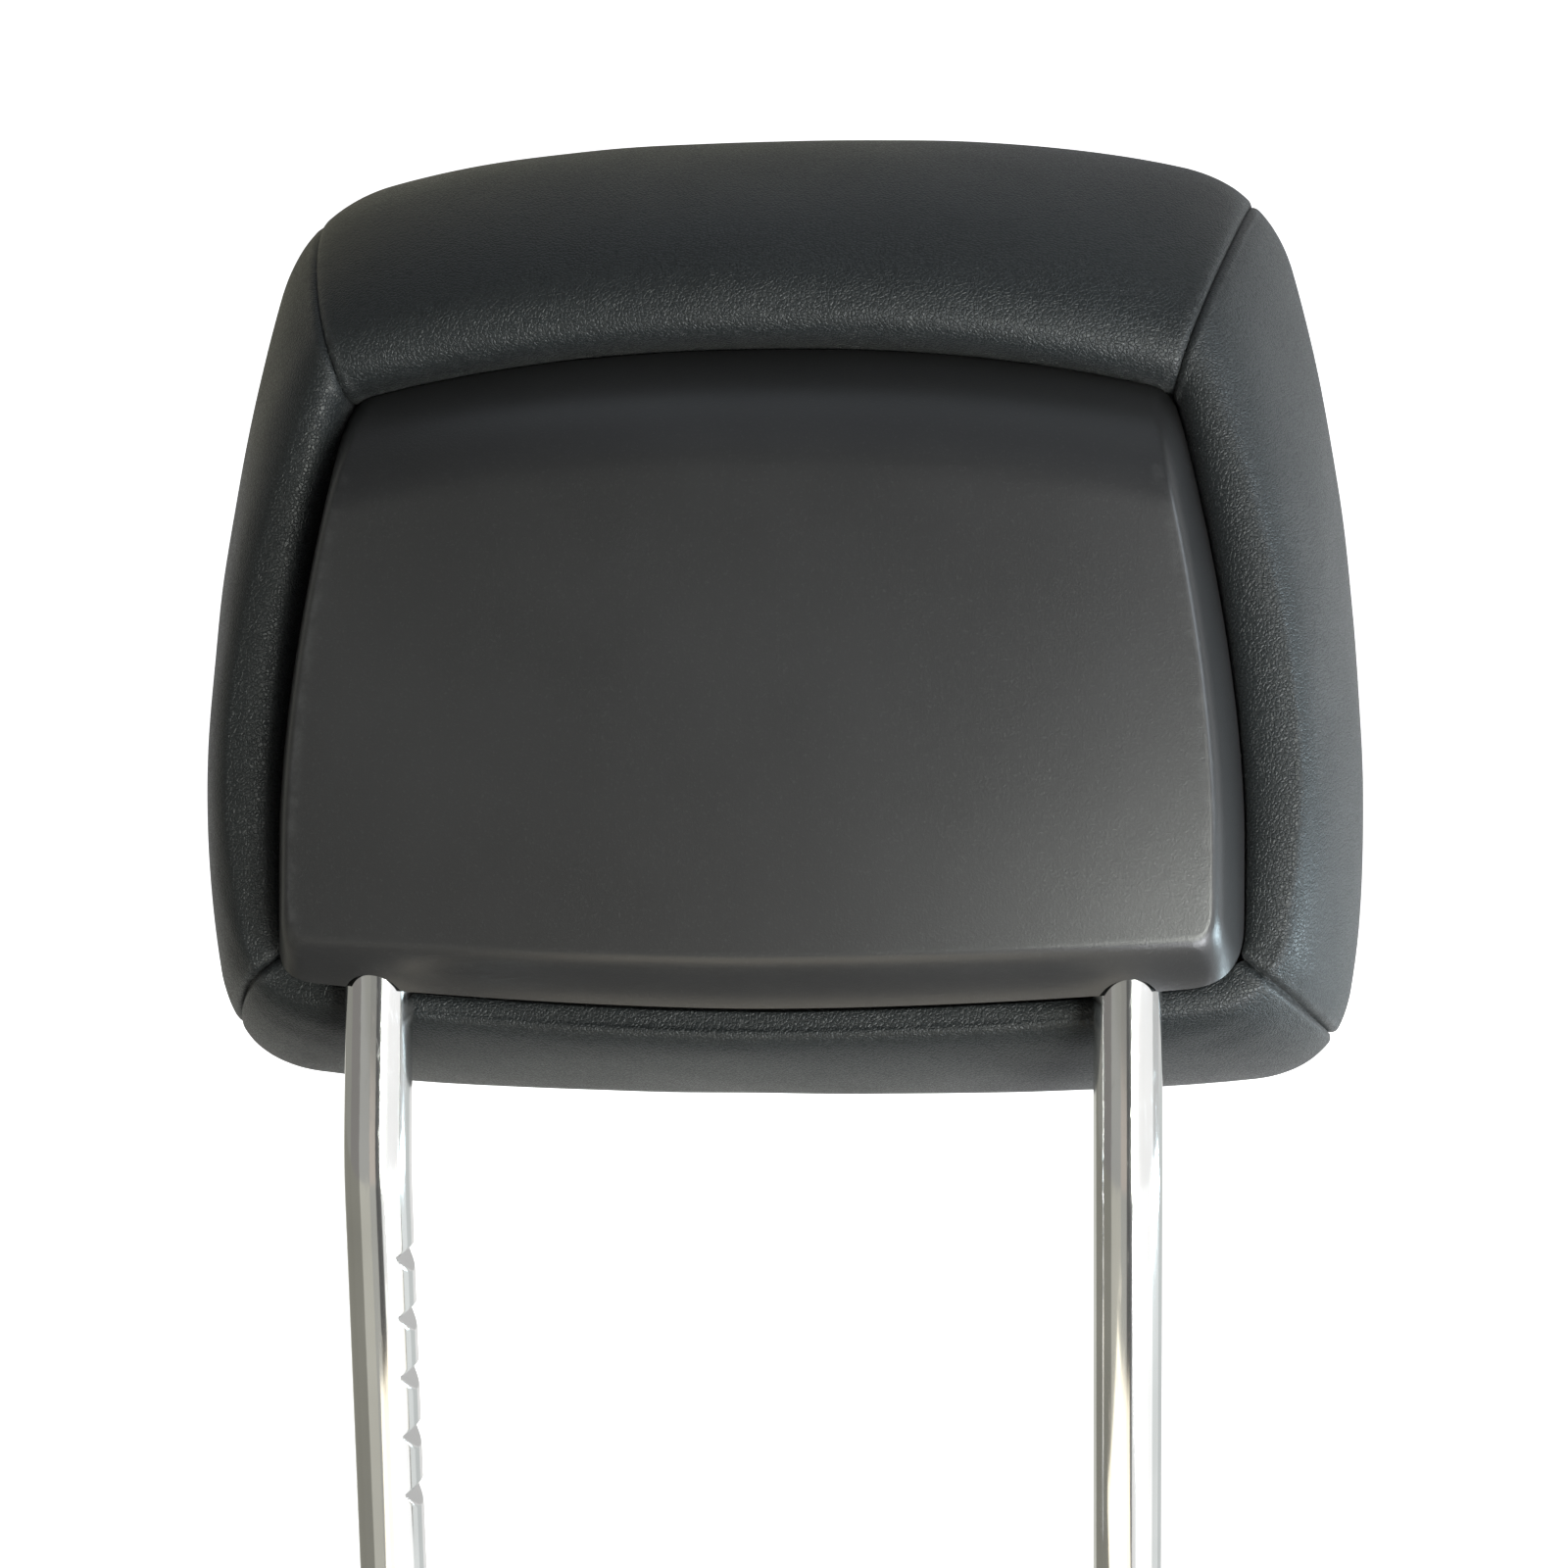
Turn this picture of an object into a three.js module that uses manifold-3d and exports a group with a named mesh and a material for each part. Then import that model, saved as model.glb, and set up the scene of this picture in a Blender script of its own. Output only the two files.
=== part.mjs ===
// A car head restraint: a padded leather head with a moulded rear cover, on one bent chromed post
// whose two legs stand in the guides of a seat back.
//
// Frame: the origin lies midway between the lower ends of the legs, +Z runs up the lower legs,
// +Y points forward to the occupant and +X to the right as seen from behind. The head is built in
// a group of its own, leaning forward with the upper legs: there x is right, y is forward and z is
// up, all counted from the point where the lower and the upper leg axes meet.

import * as THREE from 'three';
import { mergeVertices } from 'three/addons/utils/BufferGeometryUtils.js';
import Module from 'manifold-3d';

const wasm = await Module();
wasm.setup();

// Post: millimetres and degrees.
const POST_RADIUS = 7;
const LEG_SPACING = 155;
const LOWER_LEG_LENGTH = 140;
const LEAN = 12;
const LEAN_BEND_RADIUS = 80;
const CROSSBAR_HEIGHT = 124;
const CROSSBAR_BEND_RADIUS = 32;
const END_FLAT_RADIUS = 4;
const END_ROUNDING_LENGTH = 3;
const NOTCH_COUNT = 5;
const FIRST_NOTCH_DROP = 18.7;
const NOTCH_PITCH = 12.9;
const NOTCH_DEPTH = 2.6;
const NOTCH_UPPER_FLANK = 1.6;
const NOTCH_LOWER_FLANK = 4;

// Widths of the head, outward from the legs.
const COVER_BEYOND_LEG = 24.4;
const BORDER_WIDTH = 29.1;

// Edge curves of the head as seen from behind, right half. Each has a highest point, a top corner,
// a widest point, a low corner and a lowest point, joined by power curves, with rounded corners.
// The corners lie in from the widest point by a taper. mitre says where a seam crosses the
// rounding, from 0 at its first end to 1 at its last.
const CREASE_EDGE = {
	apexV: 171.5, topDrop: 10, topPower: 2.2, topTaper: 14.4, sidePower: 1.7,
	maxX: LEG_SPACING / 2 + COVER_BEYOND_LEG, maxV: 69.5, lowSidePower: 2,
	lowTaper: 0.5, lowRise: 5.8, lowPower: 1.7, lowestV: 32.4,
	topRounding: 4, topMitre: 0.5, lowRounding: 12, lowMitre: 0.32,
};
const WIDEST_EDGE = {
	apexV: 231.5, topDrop: 13.5, topPower: 2.7, topTaper: 20, sidePower: 2.2,
	maxX: CREASE_EDGE.maxX + BORDER_WIDTH, maxV: 70.5, lowSidePower: 2,
	lowTaper: 6, lowRise: 5.6, lowPower: 2.7, lowestV: 12.2,
	topRounding: 19, topMitre: 0.5, lowRounding: 18, lowMitre: 0.32,
};

// Section of the leather, by place round the head: how far forward the crease lies, how far
// outside the crease the rolled crest stands, and how far forward the crest lies.
const CREASE_DEPTH = { topCorner: 11, lowCorner: 12, top: 8, side: 14.5, low: 9.5 };
const CREST_OUT = { topCorner: 9, lowCorner: 6, top: 10, side: 9.5, low: 3 };
const CREST_DEPTH = { topCorner: 0, lowCorner: 8.5, top: -5, side: 3.5, low: 8.7 };
const CREST_FULLNESS = 0.3;
const FLANK_FULLNESS = 0.3;
const WIDEST_DEPTH = 70;
const FRONT_ROLL = 26;
const FRONT_ROLL_DEPTH = 24;
const FRONT_SEAM_ANGLE = 55;
const FRONT_CROWN = 5;
const LEATHER = 1.6;
const CLEARANCE = 0.3;

// Moulded carrier inside the head, with the clamps and screws that hold the post.
const CARRIER_DEPTH = 22;
const CARRIER_PLATE = 3;
const CARRIER_FRONT = CARRIER_DEPTH + CARRIER_PLATE;
const CARRIER_INSET = 3;
const SADDLE_RIB = 3;
const SADDLE_RIB_OFFSET = 6;
const SADDLE_GRIP = 1.4;
const SADDLE_TOP_DEPTH = POST_RADIUS - SADDLE_GRIP;
const CLAMP_HEIGHT = 65;
const CLAMP_STRAP = 1.7;
const CLAMP_WIDTH = 16;
const CLAMP_OUTER_RADIUS = POST_RADIUS + CLEARANCE + CLAMP_STRAP;
const SCREW_SHANK_RADIUS = 1.5;
const SCREW_HEAD_RADIUS = 3.2;
const SCREW_HEAD_HEIGHT = 2;
const SCREW_LENGTH = 13;
const SCREW_POINT = 1.5;
const SCREW_OFFSET = CLAMP_OUTER_RADIUS + SCREW_HEAD_RADIUS;
const BOSS_RADIUS = 3.8;

// Moulded rear cover, with the blades that reach through the carrier.
const COVER_WALL = 2.5;
const COVER_GAP = 0.4;
const COVER_SKIRT_DEPTH = CARRIER_DEPTH - 1.5;
const ROOM_BEHIND_CLAMPS = 5;
const FACE_DEPTH = -(CLAMP_OUTER_RADIUS + ROOM_BEHIND_CLAMPS + COVER_WALL);
const FACE_SIDE_CROWN = 3.5;
const FACE_HEIGHT_CROWN = 2;
const FACE_CENTRE_V = 85;
const FACE_HALF_WIDTH = CREASE_EDGE.maxX - 8.9;
const FACE_HALF_HEIGHT = 60;
const SIDE_WALL_STEEPNESS = 3.5;
const LIP_STEEPNESS = 1.9;
const PLUNGE_STEEPNESS = 1.3;
const EDGE_SOFTNESS = 5;
const PLUNGE_SOFTNESS = 11;
const LEG_HOLE_RADIUS = POST_RADIUS + 0.8;
const LEG_HOLE_REACH = 25;
const BLADE_WIDTH = 12;
const BLADE_THICKNESS = 2;
const BLADE_TIP_DEPTH = CARRIER_FRONT + 3;
const BLADE_X = LEG_SPACING / 2 - 22;
const BLADE_ROWS = [CREASE_EDGE.lowestV + 27.6, CREASE_EDGE.apexV - 25.5];
const BLADE_PLACES = BLADE_ROWS.flatMap((z) => [[-BLADE_X, z], [BLADE_X, z]]);

// Spring clips on the blades and hooked strips on the leather's edges.
const CLIP_WIDTH = 10;
const CLIP_SHEET = 0.6;
const CLIP_BARB = 3.5;
const CLIP_OVERLAP = 0.7;
const STRIP_THICKNESS = 1.4;
const STRIP_HOOK = 5;
const TUCK_DEPTH = CARRIER_DEPTH - 1;
const RECESS_FLOOR_DEPTH = BLADE_TIP_DEPTH + 2;

// Fineness of the faceted surfaces.
const POST_SIDES = 20;
const ROUND_SIDES = 12;
const LEAN_BEND_STEPS = 4;
const CROSSBAR_BEND_STEPS = 7;
const CAP_STEPS = 12;
const SIDE_STEPS = 10;
const STRIP_STEPS = 8;
const EDGE_SAMPLES = 60;
const FRONT_RING_ANGLES = [72, 90];
const FRONT_CROWN_RINGS = [0.72, 0.4];
const COVER_RING_INSETS = [COVER_GAP, 2.6, 4.8, 6.8, 8.8, 10.8, 13.5, 18, 26, 42];

const SIDES = ['top', 'right', 'low', 'left'];

const leatherMaterial = new THREE.MeshStandardMaterial({ color: 0x343739, roughness: 0.52, metalness: 0 });
const coverMaterial = new THREE.MeshStandardMaterial({ color: 0x3a3a3a, roughness: 0.42, metalness: 0 });
const chromeMaterial = new THREE.MeshStandardMaterial({ color: 0xd7d8d6, roughness: 0.1, metalness: 1 });
const foamMaterial = new THREE.MeshStandardMaterial({ color: 0xd9d2b4, roughness: 0.95, metalness: 0 });
const carrierMaterial = new THREE.MeshStandardMaterial({ color: 0x1d1d1e, roughness: 0.6, metalness: 0 });
const steelMaterial = new THREE.MeshStandardMaterial({ color: 0x9a9c9e, roughness: 0.35, metalness: 1 });
const stripMaterial = new THREE.MeshStandardMaterial({ color: 0xb9b8b0, roughness: 0.6, metalness: 0 });

// Closed bodies from rings of points

// A body from shared vertices and triangles, turned so that its faces point out.
function closedGeometry(points, triangles) {
	let volume = 0;
	for (const [a, b, c] of triangles) {
		volume += points[a].dot(points[b].clone().cross(points[c]));
	}
	const outward = volume > 0 ? triangles : triangles.map(([a, b, c]) => [a, c, b]);
	const geometry = new THREE.BufferGeometry();
	const positions = points.flatMap((point) => point.toArray());
	geometry.setAttribute('position', new THREE.Float32BufferAttribute(positions, 3));
	geometry.setIndex(outward.flat());
	return geometry;
}

// The band of triangles between neighbouring rings, each ring a closed loop of equal length.
function bandTriangles(ringCount, ringLength, firstVertex) {
	const triangles = [];
	for (let ring = 0; ring < ringCount - 1; ring += 1) {
		for (let i = 0; i < ringLength; i += 1) {
			const next = (i + 1) % ringLength;
			const here = firstVertex + ring * ringLength;
			const there = here + ringLength;
			triangles.push([here + i, here + next, there + next], [here + i, there + next, there + i]);
		}
	}
	return triangles;
}

// A body of stacked rings whose first and last ring close on a pole each.
function poleBody(firstPole, rings, lastPole) {
	const length = rings[0].length;
	const points = [firstPole, ...rings.flat(), lastPole];
	const lastRing = 1 + (rings.length - 1) * length;
	const triangles = bandTriangles(rings.length, length, 1);
	for (let i = 0; i < length; i += 1) {
		const next = (i + 1) % length;
		triangles.push([0, 1 + next, 1 + i]);
		triangles.push([points.length - 1, lastRing + i, lastRing + next]);
	}
	return closedGeometry(points, triangles);
}

// A body swept through sections of an even number of points. Each end is closed by strips that
// join a section's first half to its second half.
function sweptBody(sections) {
	const length = sections[0].length;
	const triangles = bandTriangles(sections.length, length, 0);
	const last = (sections.length - 1) * length;
	for (let i = 0; i < length / 2 - 1; i += 1) {
		const far = length - 1 - i;
		triangles.push([i, far, i + 1], [i + 1, far, far - 1]);
		triangles.push([last + i, last + i + 1, last + far], [last + i + 1, last + far - 1, last + far]);
	}
	return closedGeometry(sections.flat(), triangles);
}

// Joining and cutting

function toSolid(geometry) {
	const bare = geometry.clone();
	bare.deleteAttribute('normal');
	bare.deleteAttribute('uv');
	const merged = mergeVertices(bare, 1e-5);
	const vertProperties = new Float32Array(merged.attributes.position.array);
	const triVerts = new Uint32Array(merged.index.array);
	return new wasm.Manifold(new wasm.Mesh({ numProp: 3, vertProperties, triVerts }));
}

function toGeometry(solid) {
	const mesh = solid.getMesh();
	const geometry = new THREE.BufferGeometry();
	geometry.setAttribute('position', new THREE.Float32BufferAttribute(mesh.vertProperties, 3));
	geometry.setIndex(Array.from(mesh.triVerts));
	return geometry;
}

function cutAway(geometry, cutters) {
	let solid = toSolid(geometry);
	for (const cutter of cutters) {
		solid = solid.subtract(toSolid(cutter));
	}
	return toGeometry(solid);
}

function joined(geometry, additions) {
	let solid = toSolid(geometry);
	for (const addition of additions) {
		solid = solid.add(toSolid(addition));
	}
	return toGeometry(solid);
}

function box(minimum, maximum) {
	const size = maximum.map((value, axis) => value - minimum[axis]);
	const centre = maximum.map((value, axis) => (value + minimum[axis]) / 2);
	return new THREE.BoxGeometry(...size).translate(...centre);
}

// A round bar along y between two depths.
function forwardBar(x, z, radius, fromDepth, toDepth) {
	const bar = new THREE.CylinderGeometry(radius, radius, toDepth - fromDepth, ROUND_SIDES);
	return bar.translate(x, (fromDepth + toDepth) / 2, z);
}

// Post

// One leg's centre line from its lower end up to the middle of the crossbar, with the radius of
// the bar at each place.
function legStations(side) {
	const lean = THREE.MathUtils.degToRad(LEAN);
	const tangentLength = LEAN_BEND_RADIUS * Math.tan(lean / 2);
	const x = side * LEG_SPACING / 2;
	const bendStart = LOWER_LEG_LENGTH - tangentLength;
	const onUpper = (across, up) => new THREE.Vector3(
		across,
		up * Math.sin(lean),
		LOWER_LEG_LENGTH + up * Math.cos(lean),
	);
	const stations = [
		{ point: new THREE.Vector3(x, 0, 0), radius: END_FLAT_RADIUS },
		{ point: new THREE.Vector3(x, 0, END_ROUNDING_LENGTH * 0.3), radius: POST_RADIUS - 0.8 },
		{ point: new THREE.Vector3(x, 0, END_ROUNDING_LENGTH), radius: POST_RADIUS },
	];
	for (let step = 0; step <= LEAN_BEND_STEPS; step += 1) {
		const angle = lean * step / LEAN_BEND_STEPS;
		const y = LEAN_BEND_RADIUS * (1 - Math.cos(angle));
		const z = bendStart + LEAN_BEND_RADIUS * Math.sin(angle);
		stations.push({ point: new THREE.Vector3(x, y, z), radius: POST_RADIUS });
	}
	for (let step = 0; step <= CROSSBAR_BEND_STEPS; step += 1) {
		const angle = Math.PI / 2 * step / CROSSBAR_BEND_STEPS;
		const across = side * (LEG_SPACING / 2 - CROSSBAR_BEND_RADIUS * (1 - Math.cos(angle)));
		const up = CROSSBAR_HEIGHT - CROSSBAR_BEND_RADIUS * (1 - Math.sin(angle));
		stations.push({ point: onUpper(across, up), radius: POST_RADIUS });
	}
	return stations;
}

// Round sections along the stations, each turned from the one before by the least rotation.
function roundSections(stations) {
	const up = new THREE.Vector3(0, 0, 1);
	const direction = up.clone();
	const spoke = new THREE.Vector3(1, 0, 0);
	return stations.map(({ point, radius }, index) => {
		const before = stations[Math.max(index - 1, 0)].point;
		const after = stations[Math.min(index + 1, stations.length - 1)].point;
		const tangent = after.clone().sub(before).normalize();
		const turn = new THREE.Quaternion().setFromUnitVectors(direction, tangent);
		spoke.applyQuaternion(turn);
		direction.copy(tangent);
		const binormal = tangent.clone().cross(spoke);
		return Array.from({ length: POST_SIDES }, (unused, i) => {
			const angle = 2 * Math.PI * i / POST_SIDES;
			const out = spoke.clone().multiplyScalar(Math.cos(angle)).addScaledVector(binormal, Math.sin(angle));
			return point.clone().addScaledVector(out, radius);
		});
	});
}

// A wedge that cuts one height notch into the left leg's inner side.
function notchCutter(drop) {
	const surface = -LEG_SPACING / 2 + POST_RADIUS;
	const z = LOWER_LEG_LENGTH - drop;
	const outside = 1;
	const upperReach = NOTCH_UPPER_FLANK * (NOTCH_DEPTH + outside) / NOTCH_DEPTH;
	const lowerReach = NOTCH_LOWER_FLANK * (NOTCH_DEPTH + outside) / NOTCH_DEPTH;
	const profile = new THREE.Shape([
		new THREE.Vector2(surface - NOTCH_DEPTH, z),
		new THREE.Vector2(surface + outside, z - lowerReach),
		new THREE.Vector2(surface + outside, z + upperReach),
	]);
	const length = 2 * POST_RADIUS + 2;
	const wedge = new THREE.ExtrudeGeometry(profile, { depth: length, bevelEnabled: false });
	return wedge.rotateX(Math.PI / 2).translate(0, length / 2, 0);
}

function postGeometry() {
	const left = legStations(-1);
	const right = legStations(1).reverse();
	const bar = sweptBody(roundSections([...left, ...right]));
	const cutters = [];
	for (let notch = 0; notch < NOTCH_COUNT; notch += 1) {
		cutters.push(notchCutter(FIRST_NOTCH_DROP + notch * NOTCH_PITCH));
	}
	return cutAway(bar, cutters);
}

// Edge curves of the head

// An edge's sharp corners on the right.
function topCorner(edge) {
	return { x: edge.maxX - edge.topTaper, v: edge.apexV - edge.topDrop };
}

function lowCorner(edge) {
	return { x: edge.maxX - edge.lowTaper, v: edge.lowestV + edge.lowRise };
}

function topV(edge, x) {
	return edge.apexV - edge.topDrop * (Math.abs(x) / topCorner(edge).x) ** edge.topPower;
}

function lowV(edge, x) {
	return edge.lowestV + edge.lowRise * (Math.abs(x) / lowCorner(edge).x) ** edge.lowPower;
}

function sideX(edge, v) {
	if (v > edge.maxV) {
		const share = (v - edge.maxV) / (topCorner(edge).v - edge.maxV);
		return edge.maxX - edge.topTaper * share ** edge.sidePower;
	}
	const share = (edge.maxV - v) / (edge.maxV - lowCorner(edge).v);
	return edge.maxX - edge.lowTaper * share ** edge.lowSidePower;
}

// The sharp-cornered side of an edge curve, run clockwise as seen from behind.
function sharpSide(edge, side) {
	const top = topCorner(edge);
	const low = lowCorner(edge);
	const points = [];
	for (let i = 0; i <= EDGE_SAMPLES; i += 1) {
		const share = i / EDGE_SAMPLES;
		if (side === 'top') {
			const x = THREE.MathUtils.lerp(-top.x, top.x, share);
			points.push(new THREE.Vector2(x, topV(edge, x)));
		} else if (side === 'right') {
			const v = THREE.MathUtils.lerp(top.v, low.v, share);
			points.push(new THREE.Vector2(sideX(edge, v), v));
		} else if (side === 'low') {
			const x = THREE.MathUtils.lerp(low.x, -low.x, share);
			points.push(new THREE.Vector2(x, lowV(edge, x)));
		} else {
			const v = THREE.MathUtils.lerp(low.v, top.v, share);
			points.push(new THREE.Vector2(-sideX(edge, v), v));
		}
	}
	return new THREE.Path().setFromPoints(points);
}

// An edge curve's four sides from seam to seam, each with the rounding on its side of the seams.
class RoundedEdge {
	constructor(edge) {
		this.sides = {};
		for (const side of SIDES) {
			this.sides[side] = sharpSide(edge, side);
		}
		this.edge = edge;
	}

	// The rounding at the corner where a side starts, as seen from that side.
	corner(side) {
		const order = SIDES.indexOf(side);
		const before = this.sides[SIDES[(order + 3) % 4]];
		const here = this.sides[side];
		const high = side === 'top' || side === 'right';
		const rounding = high ? this.edge.topRounding : this.edge.lowRounding;
		const mitre = high ? this.edge.topMitre : this.edge.lowMitre;
		const curve = new THREE.QuadraticBezierCurve(
			before.getPointAt(1 - rounding / before.getLength()),
			here.getPointAt(0),
			here.getPointAt(rounding / here.getLength()),
		);
		// The left low corner is the right one mirrored, so its seam counts from the other end.
		return { curve, rounding, mitre: side === 'left' ? 1 - mitre : mitre };
	}

	point(side, share) {
		const path = this.sides[side];
		const length = path.getLength();
		const start = this.corner(side);
		const end = this.corner(SIDES[(SIDES.indexOf(side) + 1) % 4]);
		const distance = share * length;
		if (distance < start.rounding) {
			return start.curve.getPoint(THREE.MathUtils.lerp(start.mitre, 1, distance / start.rounding));
		}
		if (length - distance < end.rounding) {
			return end.curve.getPoint(THREE.MathUtils.lerp(end.mitre, 0, (length - distance) / end.rounding));
		}
		return path.getPointAt(share);
	}
}

const widest = new RoundedEdge(WIDEST_EDGE);
const crease = new RoundedEdge(CREASE_EDGE);

// A value between the corners of a side, with the side's own value in its middle.
function along(values, side, share) {
	const ends = {
		top: [values.topCorner, values.topCorner, values.top],
		right: [values.topCorner, values.lowCorner, values.side],
		low: [values.lowCorner, values.lowCorner, values.low],
		left: [values.lowCorner, values.topCorner, values.side],
	};
	const [from, to, middle] = ends[side];
	const bulge = 4 * share * (1 - share);
	return THREE.MathUtils.lerp(from, to, share) + (middle - (from + to) / 2) * bulge;
}

// Stations round the head: side and share of its length, once round without repeating a seam.
function stationsRound() {
	return SIDES.flatMap((side) => sideShares(side).slice(0, -1).map((share) => ({ side, share })));
}

// Shares along one side, closer together near the seams than in the middle.
function sideShares(side) {
	const steps = side === 'top' || side === 'low' ? CAP_STEPS : SIDE_STEPS;
	return Array.from({ length: steps + 1 }, (unused, i) => {
		const even = i / steps;
		const eased = (1 - Math.cos(Math.PI * even)) / 2;
		return THREE.MathUtils.lerp(even, eased, 0.5);
	});
}

// Where the section at a station starts, which way it runs and how wide it is.
function sectionLine({ side, share }) {
	const inner = crease.point(side, share);
	const outer = widest.point(side, share);
	const width = inner.distanceTo(outer);
	const direction = outer.clone().sub(inner).divideScalar(width);
	return { inner, direction, width };
}

// A point at a distance outside the crease and at a depth.
function sectionPoint(line, out, depth) {
	return new THREE.Vector3(
		line.inner.x + line.direction.x * out,
		depth,
		line.inner.y + line.direction.y * out,
	);
}

// The rolled section from the tucked edge over the crest to the widest line and the front seam,
// sunk below the leather's surface by inset.
function rollSection(station, inset) {
	const line = sectionLine(station);
	const creaseDepth = along(CREASE_DEPTH, station.side, station.share) + inset;
	const crestOut = along(CREST_OUT, station.side, station.share);
	const crestDepth = along(CREST_DEPTH, station.side, station.share) + inset;
	const widestOut = line.width - inset;
	const points = [[inset, TUCK_DEPTH]];
	for (let i = 0; i <= 2; i += 1) {
		const angle = Math.PI / 2 * i / 3;
		const out = inset + (crestOut - inset) * (1 - Math.cos(angle));
		points.push([out, THREE.MathUtils.lerp(creaseDepth, crestDepth, Math.sin(angle))]);
	}
	const reach = widestOut - crestOut;
	const drop = WIDEST_DEPTH - crestDepth;
	const flank = new THREE.CubicBezierCurve(
		new THREE.Vector2(crestOut, crestDepth),
		new THREE.Vector2(crestOut + CREST_FULLNESS * reach, crestDepth),
		new THREE.Vector2(widestOut, WIDEST_DEPTH - FLANK_FULLNESS * drop),
		new THREE.Vector2(widestOut, WIDEST_DEPTH),
	);
	for (let i = 0; i <= 6; i += 1) {
		const place = flank.getPoint(i / 6);
		points.push([place.x, place.y]);
	}
	for (let i = 1; i <= 3; i += 1) {
		points.push(frontRoll(line, FRONT_SEAM_ANGLE * i / 3, inset));
	}
	return points.map(([out, depth]) => sectionPoint(line, out, depth));
}

// Distance outside the crease and depth on the roll from the widest line to the front.
function frontRoll(line, degrees, inset) {
	const angle = THREE.MathUtils.degToRad(degrees);
	return [
		line.width - inset - (FRONT_ROLL - inset) * (1 - Math.cos(angle)),
		WIDEST_DEPTH + (FRONT_ROLL_DEPTH - inset) * Math.sin(angle),
	];
}

// Soft parts

// One leather side panel between two seams, a little short of both.
function sidePanelGeometry(side) {
	const shares = sideShares(side);
	const sections = shares.map((share) => {
		const outer = rollSection({ side, share }, 0);
		const inner = rollSection({ side, share }, LEATHER);
		return [...outer, ...inner.reverse()];
	});
	const last = sections.length - 1;
	shortenEnd(sections[0], sections[1]);
	shortenEnd(sections[last], sections[last - 1]);
	return sweptBody(sections);
}

// Moves an end section toward its neighbour by half the gap left at a seam.
function shortenEnd(section, neighbour) {
	section.forEach((point, i) => {
		const step = neighbour[i].clone().sub(point).setLength(CLEARANCE * 0.6);
		point.add(step);
	});
}

// Rings of the front, from the seam round the last of the roll and in to the crowned middle.
function frontRings(inset, firstAngle) {
	const stations = stationsRound();
	const rings = [firstAngle, ...FRONT_RING_ANGLES].map((angle) => stations.map((station) => {
		const line = sectionLine(station);
		return sectionPoint(line, ...frontRoll(line, angle, inset));
	}));
	const rim = rings[rings.length - 1];
	for (const share of FRONT_CROWN_RINGS) {
		rings.push(rim.map((point) => new THREE.Vector3(
			point.x * share,
			point.y + FRONT_CROWN * (1 - share * share),
			FACE_CENTRE_V + (point.z - FACE_CENTRE_V) * share,
		)));
	}
	const pole = new THREE.Vector3(0, rim[0].y + FRONT_CROWN, FACE_CENTRE_V);
	return { rings, pole };
}

function frontPanelGeometry() {
	const seamAngle = FRONT_SEAM_ANGLE + THREE.MathUtils.radToDeg(CLEARANCE / FRONT_ROLL_DEPTH);
	const outer = frontRings(0, seamAngle);
	const inner = frontRings(LEATHER, seamAngle);
	return poleBody(outer.pole, [...outer.rings.reverse(), ...inner.rings], inner.pole);
}

function foamGeometry() {
	const inset = LEATHER + CLEARANCE;
	const sections = stationsRound().map((station) => rollSection(station, inset));
	const rings = sections[0].map((unused, i) => sections.map((section) => section[i]));
	const floor = rings[0].map((point) => new THREE.Vector3(point.x, RECESS_FLOOR_DEPTH, point.z));
	const front = frontRings(inset, FRONT_SEAM_ANGLE);
	const back = new THREE.Vector3(0, RECESS_FLOOR_DEPTH, FACE_CENTRE_V);
	return poleBody(back, [floor, ...rings.slice(1), ...front.rings.slice(1)], front.pole);
}

// Rear cover

// The larger of two values, with a soft transition where they come close.
function softMax(a, b, softness) {
	const closeness = Math.max(softness - Math.abs(a - b), 0) / softness;
	return Math.max(a, b) + closeness * closeness * softness / 4;
}

// Depth of the cover's outer surface: a crowned face that turns forward into a steep wall at each
// side, a sloping lip below and a soft plunge under the top roll.
function coverDepth(x, v) {
	const face = FACE_DEPTH + FACE_SIDE_CROWN * (x / FACE_HALF_WIDTH) ** 2
		+ FACE_HEIGHT_CROWN * ((v - FACE_CENTRE_V) / FACE_HALF_HEIGHT) ** 2;
	const wall = CREASE_DEPTH.side - SIDE_WALL_STEEPNESS * (sideX(CREASE_EDGE, v) - Math.abs(x));
	const lip = CREASE_DEPTH.low - LIP_STEEPNESS * (v - lowV(CREASE_EDGE, x));
	const plunge = CREASE_DEPTH.top - PLUNGE_STEEPNESS * (topV(CREASE_EDGE, x) - v);
	const rear = softMax(face, softMax(wall, lip, EDGE_SOFTNESS), EDGE_SOFTNESS);
	return Math.min(softMax(rear, plunge, PLUNGE_SOFTNESS), COVER_SKIRT_DEPTH - 2);
}

// A point of the cover's outer surface and, behind the wall thickness, of its inner surface.
function coverPair(x, v) {
	const step = 0.05;
	const depth = coverDepth(x, v);
	const normal = new THREE.Vector3(
		(coverDepth(x + step, v) - coverDepth(x - step, v)) / (2 * step),
		-1,
		(coverDepth(x, v + step) - coverDepth(x, v - step)) / (2 * step),
	).normalize();
	const outer = new THREE.Vector3(x, depth, v);
	return { outer, inner: outer.clone().addScaledVector(normal, -COVER_WALL) };
}

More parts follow.
